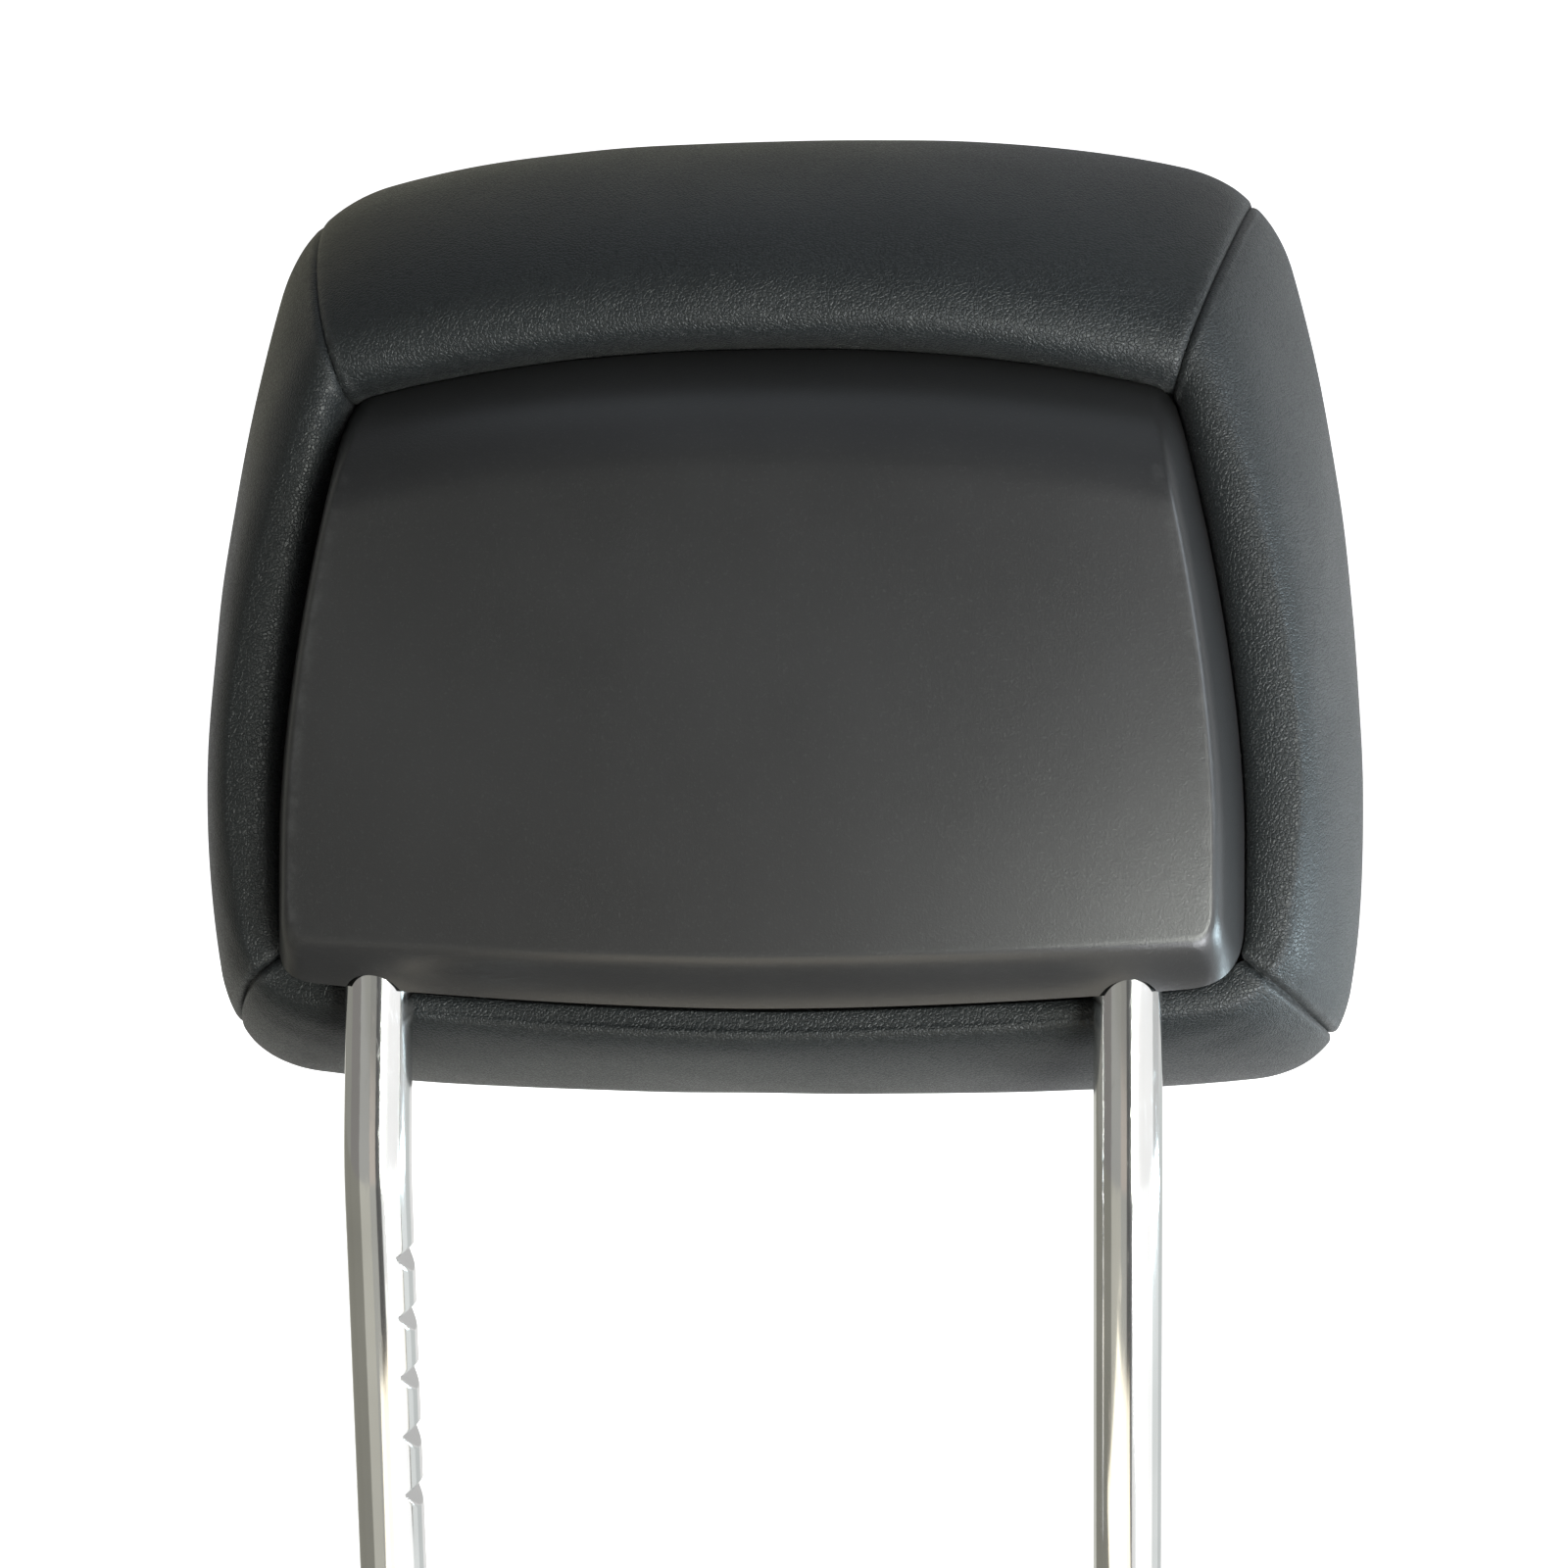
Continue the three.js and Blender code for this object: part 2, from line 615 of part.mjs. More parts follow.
function coverShell() {
	const rims = stationsRound().map(({ side, share }) => crease.point(side, share));
	const centre = new THREE.Vector2(0, FACE_CENTRE_V + 10);
	const inward = (rim, inset) => rim.clone().add(centre.clone().sub(rim).setLength(inset));
	const pairs = COVER_RING_INSETS.map((inset) => rims.map((rim) => {
		const place = inward(rim, inset);
		return coverPair(place.x, place.y);
	}));
	const skirt = (inset) => rims.map((rim) => {
		const place = inward(rim, inset);
		return new THREE.Vector3(place.x, COVER_SKIRT_DEPTH, place.y);
	});
	const middle = coverPair(0, centre.y);
	const outerRings = pairs.map((ring) => ring.map((pair) => pair.outer)).reverse();
	const innerRings = pairs.slice(1).map((ring) => ring.map((pair) => pair.inner));
	const rings = [...outerRings, skirt(COVER_GAP), skirt(COVER_GAP + COVER_WALL), ...innerRings];
	return poleBody(middle.outer, rings, middle.inner);
}

function coverGeometry() {
	const blades = BLADE_PLACES.map(([x, z]) => box(
		[x - BLADE_WIDTH / 2, coverDepth(x, z) + COVER_WALL / 2, z - BLADE_THICKNESS / 2],
		[x + BLADE_WIDTH / 2, BLADE_TIP_DEPTH, z + BLADE_THICKNESS / 2],
	));
	const holes = [-1, 1].map((side) => {
		const hole = new THREE.CylinderGeometry(LEG_HOLE_RADIUS, LEG_HOLE_RADIUS, 2 * LEG_HOLE_REACH, POST_SIDES);
		return hole.rotateX(Math.PI / 2).translate(side * LEG_SPACING / 2, 0, CREASE_EDGE.lowestV);
	});
	return cutAway(joined(coverShell(), blades), holes);
}

// Carrier and what is fixed to it

// The three places where a clamp holds the post: left leg, right leg and crossbar.
const CLAMPS = [
	{ name: 'left', x: -LEG_SPACING / 2, z: CLAMP_HEIGHT, alongX: false },
	{ name: 'right', x: LEG_SPACING / 2, z: CLAMP_HEIGHT, alongX: false },
	{ name: 'top', x: 0, z: CROSSBAR_HEIGHT, alongX: true },
];

// Moves a geometry from a clamp's own frame, its bar along z, to the clamp's place.
function atClamp(clamp, geometry) {
	if (clamp.alongX) {
		geometry.rotateY(Math.PI / 2);
	}
	return geometry.translate(clamp.x, 0, clamp.z);
}

function carrierPlate() {
	const rims = stationsRound().map((station) => sectionLine(station));
	const ringAt = (depth) => rims.map((line) => sectionPoint(line, -CARRIER_INSET, depth));
	const back = new THREE.Vector3(0, CARRIER_DEPTH, FACE_CENTRE_V);
	const front = new THREE.Vector3(0, CARRIER_FRONT, FACE_CENTRE_V);
	return poleBody(back, [ringAt(CARRIER_DEPTH), ringAt(CARRIER_FRONT)], front);
}

function carrierGeometry() {
	const additions = [];
	const cutters = [];
	const rootDepth = CARRIER_DEPTH + CARRIER_PLATE / 2;
	for (const clamp of CLAMPS) {
		for (const side of [-1, 1]) {
			const ribZ = side * SADDLE_RIB_OFFSET;
			const rib = box(
				[-SCREW_OFFSET, SADDLE_TOP_DEPTH, ribZ - SADDLE_RIB / 2],
				[SCREW_OFFSET, rootDepth, ribZ + SADDLE_RIB / 2],
			);
			additions.push(atClamp(clamp, rib));
			const boss = forwardBar(side * SCREW_OFFSET, 0, BOSS_RADIUS, SADDLE_TOP_DEPTH, rootDepth);
			additions.push(atClamp(clamp, boss));
			const pilotRadius = SCREW_SHANK_RADIUS + CLEARANCE;
			const pilotEnd = SADDLE_TOP_DEPTH + SCREW_LENGTH;
			const pilot = forwardBar(side * SCREW_OFFSET, 0, pilotRadius, 0, pilotEnd);
			cutters.push(atClamp(clamp, pilot));
		}
		const seatRadius = POST_RADIUS + CLEARANCE;
		const seat = new THREE.CylinderGeometry(seatRadius, seatRadius, 40, POST_SIDES).rotateX(Math.PI / 2);
		cutters.push(atClamp(clamp, seat));
	}
	const slotHalfWidth = BLADE_WIDTH / 2 + 5 * CLEARANCE;
	const slotHalfHeight = CLIP_BARB - CLIP_OVERLAP;
	for (const [x, z] of BLADE_PLACES) {
		cutters.push(box(
			[x - slotHalfWidth, CARRIER_DEPTH - 1, z - slotHalfHeight],
			[x + slotHalfWidth, CARRIER_FRONT + 1, z + slotHalfHeight],
		));
	}
	return cutAway(joined(carrierPlate(), additions), cutters);
}

// A steel strap over the bar with a foot and a screw hole at each side.
function clampGeometry(clamp) {
	const footRear = SADDLE_TOP_DEPTH - CLEARANCE - CLAMP_STRAP;
	const footFront = SADDLE_TOP_DEPTH - CLEARANCE;
	const innerRadius = POST_RADIUS + CLEARANCE;
	const footEnd = SCREW_OFFSET + BOSS_RADIUS;
	const outline = new THREE.Shape();
	outline.moveTo(-footEnd, footFront);
	outline.lineTo(-footEnd, footRear);
	outline.lineTo(-CLAMP_OUTER_RADIUS, footRear);
	outline.absarc(0, 0, CLAMP_OUTER_RADIUS, Math.PI, 2 * Math.PI, false);
	outline.lineTo(CLAMP_OUTER_RADIUS, footRear);
	outline.lineTo(footEnd, footRear);
	outline.lineTo(footEnd, footFront);
	outline.lineTo(innerRadius, footFront);
	outline.absarc(0, 0, innerRadius, 0, Math.PI, true);
	outline.lineTo(-innerRadius, footFront);
	const strap = new THREE.ExtrudeGeometry(outline, {
		depth: CLAMP_WIDTH, bevelEnabled: false, curveSegments: 8,
	}).translate(0, 0, -CLAMP_WIDTH / 2);
	const holes = [-1, 1].map((side) => forwardBar(
		side * SCREW_OFFSET, 0, SCREW_SHANK_RADIUS + CLEARANCE, 0, 2 * footFront,
	));
	return atClamp(clamp, cutAway(strap, holes));
}

// A round-headed screw through one foot of a clamp.
function screwGeometry(clamp, side) {
	const headFront = SADDLE_TOP_DEPTH - CLEARANCE - CLAMP_STRAP - CLEARANCE;
	const profile = [
		new THREE.Vector2(0, headFront - SCREW_HEAD_HEIGHT),
		new THREE.Vector2(SCREW_HEAD_RADIUS * 0.6, headFront - SCREW_HEAD_HEIGHT),
		new THREE.Vector2(SCREW_HEAD_RADIUS, headFront - SCREW_HEAD_HEIGHT * 0.45),
		new THREE.Vector2(SCREW_HEAD_RADIUS, headFront),
		new THREE.Vector2(SCREW_SHANK_RADIUS, headFront),
		new THREE.Vector2(SCREW_SHANK_RADIUS, headFront + SCREW_LENGTH - SCREW_POINT),
		new THREE.Vector2(0, headFront + SCREW_LENGTH),
	];
	const screw = new THREE.LatheGeometry(profile, ROUND_SIDES).translate(side * SCREW_OFFSET, 0, 0);
	return atClamp(clamp, screw);
}

// A folded spring clip over a blade's tip, its barbs behind the carrier plate.
function clipGeometry([x, z]) {
	const barbDepth = CARRIER_FRONT + CLEARANCE;
	const inside = BLADE_TIP_DEPTH + CLEARANCE;
	const shoulder = BLADE_THICKNESS / 2 + CLEARANCE;
	const outline = new THREE.Shape([
		new THREE.Vector2(CLIP_BARB, barbDepth),
		new THREE.Vector2(shoulder + CLIP_SHEET, inside + CLIP_SHEET),
		new THREE.Vector2(-shoulder - CLIP_SHEET, inside + CLIP_SHEET),
		new THREE.Vector2(-CLIP_BARB, barbDepth),
		new THREE.Vector2(-CLIP_BARB + CLIP_SHEET, barbDepth),
		new THREE.Vector2(-shoulder, inside),
		new THREE.Vector2(shoulder, inside),
		new THREE.Vector2(CLIP_BARB - CLIP_SHEET, barbDepth),
	]);
	const clip = new THREE.ExtrudeGeometry(outline, { depth: CLIP_WIDTH, bevelEnabled: false });
	return clip.translate(0, 0, -CLIP_WIDTH / 2).rotateY(Math.PI / 2).translate(x, 0, z);
}

// The hooked strip that holds one leather panel's tucked edge to the carrier.
function stripGeometry(side) {
	const webStart = TUCK_DEPTH + CLEARANCE;
	const hookStart = CARRIER_FRONT + CLEARANCE;
	const hookEnd = hookStart + STRIP_THICKNESS;
	const profile = [
		[0, webStart], [0, hookStart], [-STRIP_HOOK, hookStart],
		[-STRIP_HOOK, hookEnd], [STRIP_THICKNESS, hookEnd], [STRIP_THICKNESS, webStart],
	];
	const sections = [];
	for (let step = 0; step <= STRIP_STEPS; step += 1) {
		const share = THREE.MathUtils.lerp(0.09, 0.91, step / STRIP_STEPS);
		const line = sectionLine({ side, share });
		sections.push(profile.map(([out, depth]) => sectionPoint(line, out, depth)));
	}
	return sweptBody(sections);
}

// Scene graph

function named(name, geometry, material) {
	const mesh = new THREE.Mesh(geometry, material);
	mesh.name = name;
	return mesh;
}

const headRestraint = new THREE.Group();
headRestraint.add(named('post_stay', postGeometry(), chromeMaterial));

const head = new THREE.Group();
head.position.z = LOWER_LEG_LENGTH;
head.rotation.x = -THREE.MathUtils.degToRad(LEAN);
headRestraint.add(head);

head.add(named('rear_cover', coverGeometry(), coverMaterial));
head.add(named('foam_pad', foamGeometry(), foamMaterial));
head.add(named('trim_front', frontPanelGeometry(), leatherMaterial));
for (const side of SIDES) {
	const word = side === 'low' ? 'bottom' : side;
	head.add(named(`trim_${word}`, sidePanelGeometry(side), leatherMaterial));
	head.add(named(`tuck_strip_${word}`, stripGeometry(side), stripMaterial));
}
head.add(named('carrier', carrierGeometry(), carrierMaterial));
for (const clamp of CLAMPS) {
	head.add(named(`clamp_${clamp.name}`, clampGeometry(clamp), steelMaterial));
	for (const side of [-1, 1]) {
		const screwName = `clamp_screw_${clamp.name}_${side < 0 ? 1 : 2}`;
		head.add(named(screwName, screwGeometry(clamp, side), steelMaterial));
	}
}
BLADE_PLACES.forEach((place, index) => {
	head.add(named(`cover_clip_${index + 1}`, clipGeometry(place), steelMaterial));
});

export default headRestraint;
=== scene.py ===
"""Looks of a car head restraint: leather over foam, a moulded rear cover and a chromed post.

Lengths inside the shape classes are millimetres in the head's own leaning frame: x to the right,
w forward and v up from the place where the lower and the upper leg axes meet. HeadFrame turns them
into metres in the row frame, where every piece stays.
"""

import logging
import math
from collections.abc import Callable
from dataclasses import dataclass
from enum import Enum

import bpy
import numpy as np
from mathutils import Matrix, Vector
from numpy.typing import NDArray


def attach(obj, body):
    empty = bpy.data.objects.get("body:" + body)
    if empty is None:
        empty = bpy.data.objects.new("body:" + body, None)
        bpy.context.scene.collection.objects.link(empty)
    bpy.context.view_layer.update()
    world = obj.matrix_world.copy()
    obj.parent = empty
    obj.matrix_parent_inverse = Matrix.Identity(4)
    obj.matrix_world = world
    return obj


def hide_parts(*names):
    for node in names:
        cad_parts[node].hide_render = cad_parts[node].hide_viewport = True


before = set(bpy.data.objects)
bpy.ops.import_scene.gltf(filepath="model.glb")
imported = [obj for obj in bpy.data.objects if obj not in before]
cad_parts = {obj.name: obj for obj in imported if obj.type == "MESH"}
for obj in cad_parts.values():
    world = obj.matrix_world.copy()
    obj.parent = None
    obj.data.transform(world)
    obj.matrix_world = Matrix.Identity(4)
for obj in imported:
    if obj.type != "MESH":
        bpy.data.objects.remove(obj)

log = logging.getLogger("head_restraint")

Array = NDArray[np.float64]
Indices = NDArray[np.int64]

Place = tuple[float, float, float]

MM = 0.001


class Side(Enum):
    """A side of the head as seen from behind, in clockwise order, with its word in node names."""

    TOP = "top"
    RIGHT = "right"
    LOW = "bottom"
    LEFT = "left"

    def next(self) -> "Side":
        """The side that follows clockwise."""
        order = list(Side)
        return order[(order.index(self) + 1) % len(order)]

    def previous(self) -> "Side":
        """The side that comes before, clockwise."""
        order = list(Side)
        return order[(order.index(self) - 1) % len(order)]


class Grain(Enum):
    """What the small relief of a moulded or foamed surface looks like."""

    SATIN = "satin"
    CELLS = "cells"


# Numbers and curves


def lerp(a: Array | float, b: Array | float, share: Array | float) -> Array:
    """The value at a share of the way from a to b."""
    return a + (b - a) * share


def smooth_step(value: Array) -> Array:
    """0 below 0, 1 above 1, and 3t^2 - 2t^3 in between."""
    t = np.clip(value, 0, 1)
    return t * t * (3 - 2 * t)


def soft_max(a: Array, b: Array, softness: Array | float) -> Array:
    """The larger of two values, rounded off where they differ by less than the softness.

    Formula: max(a, b) + c^2 s / 4, where s is the softness and c = max(s - |a - b|, 0) / s.
    """
    closeness = np.maximum(softness - np.abs(a - b), 0) / softness
    return np.maximum(a, b) + closeness * closeness * softness / 4


def crowded(count: int, crowding: float) -> Array:
    """Shares from 0 to 1 that stand closer together near both ends.

    Formula: (1 + tanh(k (2 e - 1)) / tanh(k)) / 2 for even shares e and crowding k.
    """
    even = np.linspace(0, 1, count)
    return (1 + np.tanh(crowding * (2 * even - 1)) / math.tanh(crowding)) / 2


def running_length(points: Array, axis: int) -> Array:
    """Distance travelled along one axis of a grid of points, 0 at its first row."""
    steps = np.linalg.norm(np.diff(points, axis=axis), axis=-1)
    start = np.zeros_like(np.take(steps, [0], axis=axis))
    return np.concatenate([start, np.cumsum(steps, axis=axis)], axis=axis)


def lattice_noise(x: Array, y: Array, seed: int) -> Array:
    """Smooth noise from -1 to 1: random values on whole-number points, eased in between.

    Args:
        x, y: places, one unit between lattice points.
        seed: which lattice.

    Returns:
        One value for each place.
    """
    size = 64
    table = np.random.default_rng(seed).uniform(-1, 1, (size, size))
    column, row = np.floor(x).astype(int), np.floor(y).astype(int)
    across, up = smooth_step(x - column), smooth_step(y - row)
    low = lerp(table[row % size, column % size], table[row % size, (column + 1) % size], across)
    high = lerp(
        table[(row + 1) % size, column % size], table[(row + 1) % size, (column + 1) % size], across
    )
    return lerp(low, high, up)


def normals_of(points: Array) -> Array:
    """Unit normals of a grid of points: the cross product of its two directions of travel."""
    along_rows = np.gradient(points, axis=0)
    along_columns = np.gradient(points, axis=1)
    normal = np.cross(along_rows, along_columns)
    return normal / np.maximum(np.linalg.norm(normal, axis=-1, keepdims=True), 1e-12)


# Meshes


def band_quads(rows: int, columns: int, closed: bool, first: int = 0) -> Indices:
    """Quads between the neighbouring rows of a grid of vertices.

    Args:
        rows, columns: size of the grid.
        closed: whether each row runs round and joins its own start.
        first: index of the grid's first vertex.

    Returns:
        One row of four vertex indices for each quad.
    """
    row, column = np.meshgrid(
        np.arange(rows - 1), np.arange(columns if closed else columns - 1), indexing="ij"
    )
    following = (column + 1) % columns
    quads = np.stack(
        [
            row * columns + column,
            row * columns + following,
            (row + 1) * columns + following,
            (row + 1) * columns + column,
        ],
        axis=-1,
    )
    return quads.reshape(-1, 4) + first


def end_strip(loop: int, first: int) -> Indices:
    """Quads that close a flat loop of vertices by joining its first half to its second half."""
    near = np.arange(loop // 2 - 1) + first
    far = first + loop - 1 - np.arange(loop // 2 - 1)
    return np.stack([near, near + 1, far - 1, far], axis=-1)


def pole_fan(loop: int, first: int, pole: int) -> Indices:
    """Triangles from a closed row of vertices to one pole vertex."""
    near = np.arange(loop)
    return np.stack([near + first, (near + 1) % loop + first, np.full(loop, pole)], axis=-1)


def enclosed_volume(points: Array, triangles: Indices) -> float:
    """Signed volume inside a closed surface: a sixth of the sum of its triangles' determinants."""
    a, b, c = (points[triangles[:, i]] for i in range(3))
    return float(np.einsum("ij,ij->", a, np.cross(b, c))) / 6


def closed_piece(
    name: str, points: Array, quads: Indices, triangles: Indices | None = None
) -> bpy.types.Object:
    """A smooth-shaded object from a closed surface, turned so that its faces point outwards.

    Args:
        name: the piece's name.
        points: vertices in metres, row frame.
        quads: four vertex indices a row.
        triangles: three vertex indices a row, for fans.

    Returns:
        The linked object, at the origin.
    """
    triangles = np.empty((0, 3), int) if triangles is None else triangles
    halves = [quads[:, [0, 1, 2]], quads[:, [0, 2, 3]], triangles]
    if enclosed_volume(points, np.concatenate(halves)) < 0:
        quads, triangles = quads[:, ::-1], triangles[:, ::-1]
    mesh = bpy.data.meshes.new(name)
    mesh.from_pydata(points, [], [*quads.tolist(), *triangles.tolist()])
    mesh.polygons.foreach_set("use_smooth", np.ones(len(mesh.polygons), bool))
    mesh.update()
    piece = bpy.data.objects.new(name, mesh)
    bpy.context.scene.collection.objects.link(piece)
    return piece


def capped_rings(name: str, rings: Array, poles: Array) -> bpy.types.Object:
    """A closed piece of rings one after the other, with a fan to a pole at either end.

    Args:
        name: the piece's name.
        rings: rings by stations in metres, row frame.
        poles: the pole before the first ring and the one after the last.

    Returns:
        The linked object, at the origin.
    """
    count, stations = rings.shape[:2]
    total = count * stations
    fans = [pole_fan(stations, 0, total)[:, ::-1], pole_fan(stations, total - stations, total + 1)]
    points = np.concatenate([rings.reshape(-1, 3), poles])
    quads = band_quads(count, stations, closed=True)
    return closed_piece(name, points, quads, np.concatenate(fans))


def paint(piece: bpy.types.Object, attribute: str, values: Array) -> None:
    """Stores one number a vertex for the materials to read."""
    layer = piece.data.attributes.new(attribute, "FLOAT", "POINT")
    layer.data.foreach_set("value", np.ascontiguousarray(values, np.float32).ravel())


def settle(piece: bpy.types.Object, material: bpy.types.Material) -> None:
    """Gives a piece its finish, lets it ride on the one body and reports it.

    Args:
        piece: the finished object.
        material: its finish.
    """
    piece.data.materials.clear()
    piece.data.materials.append(material)
    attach(piece, "root")
    log.info("%s: %d faces", piece.name, len(piece.data.polygons))


def combined(piece: bpy.types.Object, other: bpy.types.Object, operation: str) -> None:
    """Joins another closed object to a piece, or cuts it away, and removes the other.

    Args:
        piece: the object whose mesh changes.
        other: the object that is added or taken away.
        operation: UNION or DIFFERENCE.
    """
    modifier = piece.modifiers.new("combine", "BOOLEAN")
    modifier.operation = operation
    modifier.solver = "EXACT"
    modifier.object = other
    bpy.context.view_layer.update()
    depsgraph = bpy.context.evaluated_depsgraph_get()
    mesh = bpy.data.meshes.new_from_object(piece.evaluated_get(depsgraph))
    piece.modifiers.clear()
    old = piece.data
    piece.data = mesh
    mesh.name = piece.name
    bpy.data.meshes.remove(old)
    bpy.data.objects.remove(other)


# Curves and sections of the head


@dataclass(frozen=True)
class HeadFrame:
    """The head's leaning frame: it turns about the place where the leg axes meet."""

    lean: float = 12.0
    bend_height: float = 140.0

    def to_row(self, x: Array, w: Array, v: Array) -> Array:
        """Points in metres, row frame.

        Formula: y = w cos(lean) + v sin(lean), z = bend height - w sin(lean) + v cos(lean).
        """
        cosine, sine = math.cos(math.radians(self.lean)), math.sin(math.radians(self.lean))
        x, w, v = np.broadcast_arrays(x, w, v)
        y, z = w * cosine + v * sine, self.bend_height - w * sine + v * cosine
        return np.stack([x, y, z], axis=-1) * MM

    def from_row(self, points: Array) -> tuple[Array, Array, Array]:
        """x, w and v in millimetres of points in metres, row frame: to_row's formula undone."""
        cosine, sine = math.cos(math.radians(self.lean)), math.sin(math.radians(self.lean))
        x, y, z = (points / MM).T
        z = z - self.bend_height
        return x, y * cosine - z * sine, y * sine + z * cosine

    def placed(self, points: Array) -> Array:
        """An array of points x, w, v in metres, row frame."""
        return self.to_row(points[..., 0], points[..., 1], points[..., 2])


@dataclass(frozen=True)
class Corner:
    """The rounding between two sides of an edge curve: a quadratic Bezier with a seam on it."""

    points: Array
    rounding: float
    mitre: float

    def at(self, t: Array) -> Array:
        """Points (1-t)^2 a + 2 t (1-t) b + t^2 c of the curve."""
        t = t[..., None]
        a, b, c = self.points
        return (1 - t) ** 2 * a + 2 * t * (1 - t) * b + t**2 * c


@dataclass(frozen=True)
class EdgeCurve:
    """A closed curve round the head as seen from behind, of four power curves."""

    apex_v: float
    top_drop: float
    top_power: float
    top_taper: float
    side_power: float
    max_x: float
    max_v: float
    low_taper: float
    low_rise: float
    low_power: float
    lowest_v: float
    top_rounding: float
    low_rounding: float
    low_side_power: float = 2.0
    top_mitre: float = 0.5
    low_mitre: float = 0.32
    samples: int = 500

    @property
    def top_corner(self) -> Array:
        """The sharp corner at the top right."""
        return np.array([self.max_x - self.top_taper, self.apex_v - self.top_drop])

    @property
    def low_corner(self) -> Array:
        """The sharp corner at the bottom right."""
        return np.array([self.max_x - self.low_taper, self.lowest_v + self.low_rise])

    def top_v(self, x: Array) -> Array:
        """Height of the top side: apex - drop (|x| / corner x)^power."""
        return self.apex_v - self.top_drop * (np.abs(x) / self.top_corner[0]) ** self.top_power

    def low_v(self, x: Array) -> Array:
        """Height of the low side: lowest + rise (|x| / corner x)^power."""
        return self.lowest_v + self.low_rise * (np.abs(x) / self.low_corner[0]) ** self.low_power

    def side_x(self, v: Array) -> Array:
        """Half width: the most less a taper times a power of the distance from the widest place."""
        above = np.maximum(v - self.max_v, 0) / (self.top_corner[1] - self.max_v)
        below = np.maximum(self.max_v - v, 0) / (self.max_v - self.low_corner[1])
        return (
            self.max_x
            - self.top_taper * above**self.side_power
            - self.low_taper * below**self.low_side_power
        )

    def sharp(self, side: Side) -> Array:
        """Points of one side, run clockwise, with sharp ends."""
        top, low = self.top_corner, self.low_corner
        share = np.linspace(0, 1, self.samples)
        if side is Side.TOP:
            x = lerp(-top[0], top[0], share)
            return np.stack([x, self.top_v(x)], axis=-1)
        if side is Side.LOW:
            x = lerp(low[0], -low[0], share)
            return np.stack([x, self.low_v(x)], axis=-1)
        down = side is Side.RIGHT
        v = lerp(top[1], low[1], share) if down else lerp(low[1], top[1], share)
        return np.stack([self.side_x(v) if down else -self.side_x(v), v], axis=-1)

    def at_length(self, side: Side, length: Array) -> Array:
        """Points at lengths along one sharp-ended side, negative ones counted from its end."""
        path = self.sharp(side)
        run = running_length(path, 0)
        place = np.where(np.asarray(length) < 0, run[-1] + length, length)
        return np.stack([np.interp(place, run, path[:, i]) for i in range(2)], axis=-1)

    def corner(self, side: Side) -> Corner:
        """The rounding where a side starts."""
        high = side in (Side.TOP, Side.RIGHT)
        rounding = self.top_rounding if high else self.low_rounding
        mitre = self.top_mitre if high else self.low_mitre
        points = np.stack(
            [
                self.at_length(side.previous(), -rounding),
                self.sharp(side)[0],
                self.at_length(side, rounding),
            ]
        )
        return Corner(points, rounding, 1 - mitre if side is Side.LEFT else mitre)

    def points(self, side: Side, share: Array) -> Array:
        """Points from seam to seam of one side, with its part of both roundings.

        Args:
            side: which side.
            share: shares of its length, from 0 to 1.

        Returns:
            x and v for each share.
        """
        total = running_length(self.sharp(side), 0)[-1]
        distance = share * total
        start, end = self.corner(side), self.corner(side.next())
        from_start = np.clip(distance / start.rounding, 0, 1)
        from_end = np.clip((total - distance) / end.rounding, 0, 1)
        place = self.at_length(side, distance)
        place = np.where(
            (from_start < 1)[..., None], start.at(lerp(start.mitre, 1, from_start)), place
        )
        return np.where((from_end < 1)[..., None], end.at(lerp(end.mitre, 0, from_end)), place)


@dataclass(frozen=True)
class ByPlace:
    """A size that differs round the head: at the corners and in the middle of each side."""

    top_corner: float
    low_corner: float
    top: float
    side: float
    low: float

    def along(self, side: Side, share: Array) -> Array:
        """The value on one side.

        Formula: between the corner values a and b, plus 4 s (1 - s) (middle - (a + b) / 2).
        """
        ends = {
            Side.TOP: (self.top_corner, self.top_corner, self.top),
            Side.RIGHT: (self.top_corner, self.low_corner, self.side),
            Side.LOW: (self.low_corner, self.low_corner, self.low),
            Side.LEFT: (self.low_corner, self.top_corner, self.side),
        }
        start, end, middle = ends[side]
        return lerp(start, end, share) + (middle - (start + end) / 2) * 4 * share * (1 - share)


CREASE = EdgeCurve(
    apex_v=171.5, top_drop=10, top_power=2.2, top_taper=14.4, side_power=1.7, max_x=101.9,
    max_v=69.5, low_taper=0.5, low_rise=5.8, low_power=1.7, lowest_v=32.4,
    top_rounding=4, low_rounding=12,
)  # fmt: skip
WIDEST = EdgeCurve(
    apex_v=231.5, top_drop=13.5, top_power=2.7, top_taper=20, side_power=2.2, max_x=131,
    max_v=70.5, low_taper=6, low_rise=5.6, low_power=2.7, lowest_v=12.2,
    top_rounding=19, low_rounding=18,
)  # fmt: skip
HEAD = HeadFrame()
LEG_X = 77.5
POST_RADIUS = 7.0


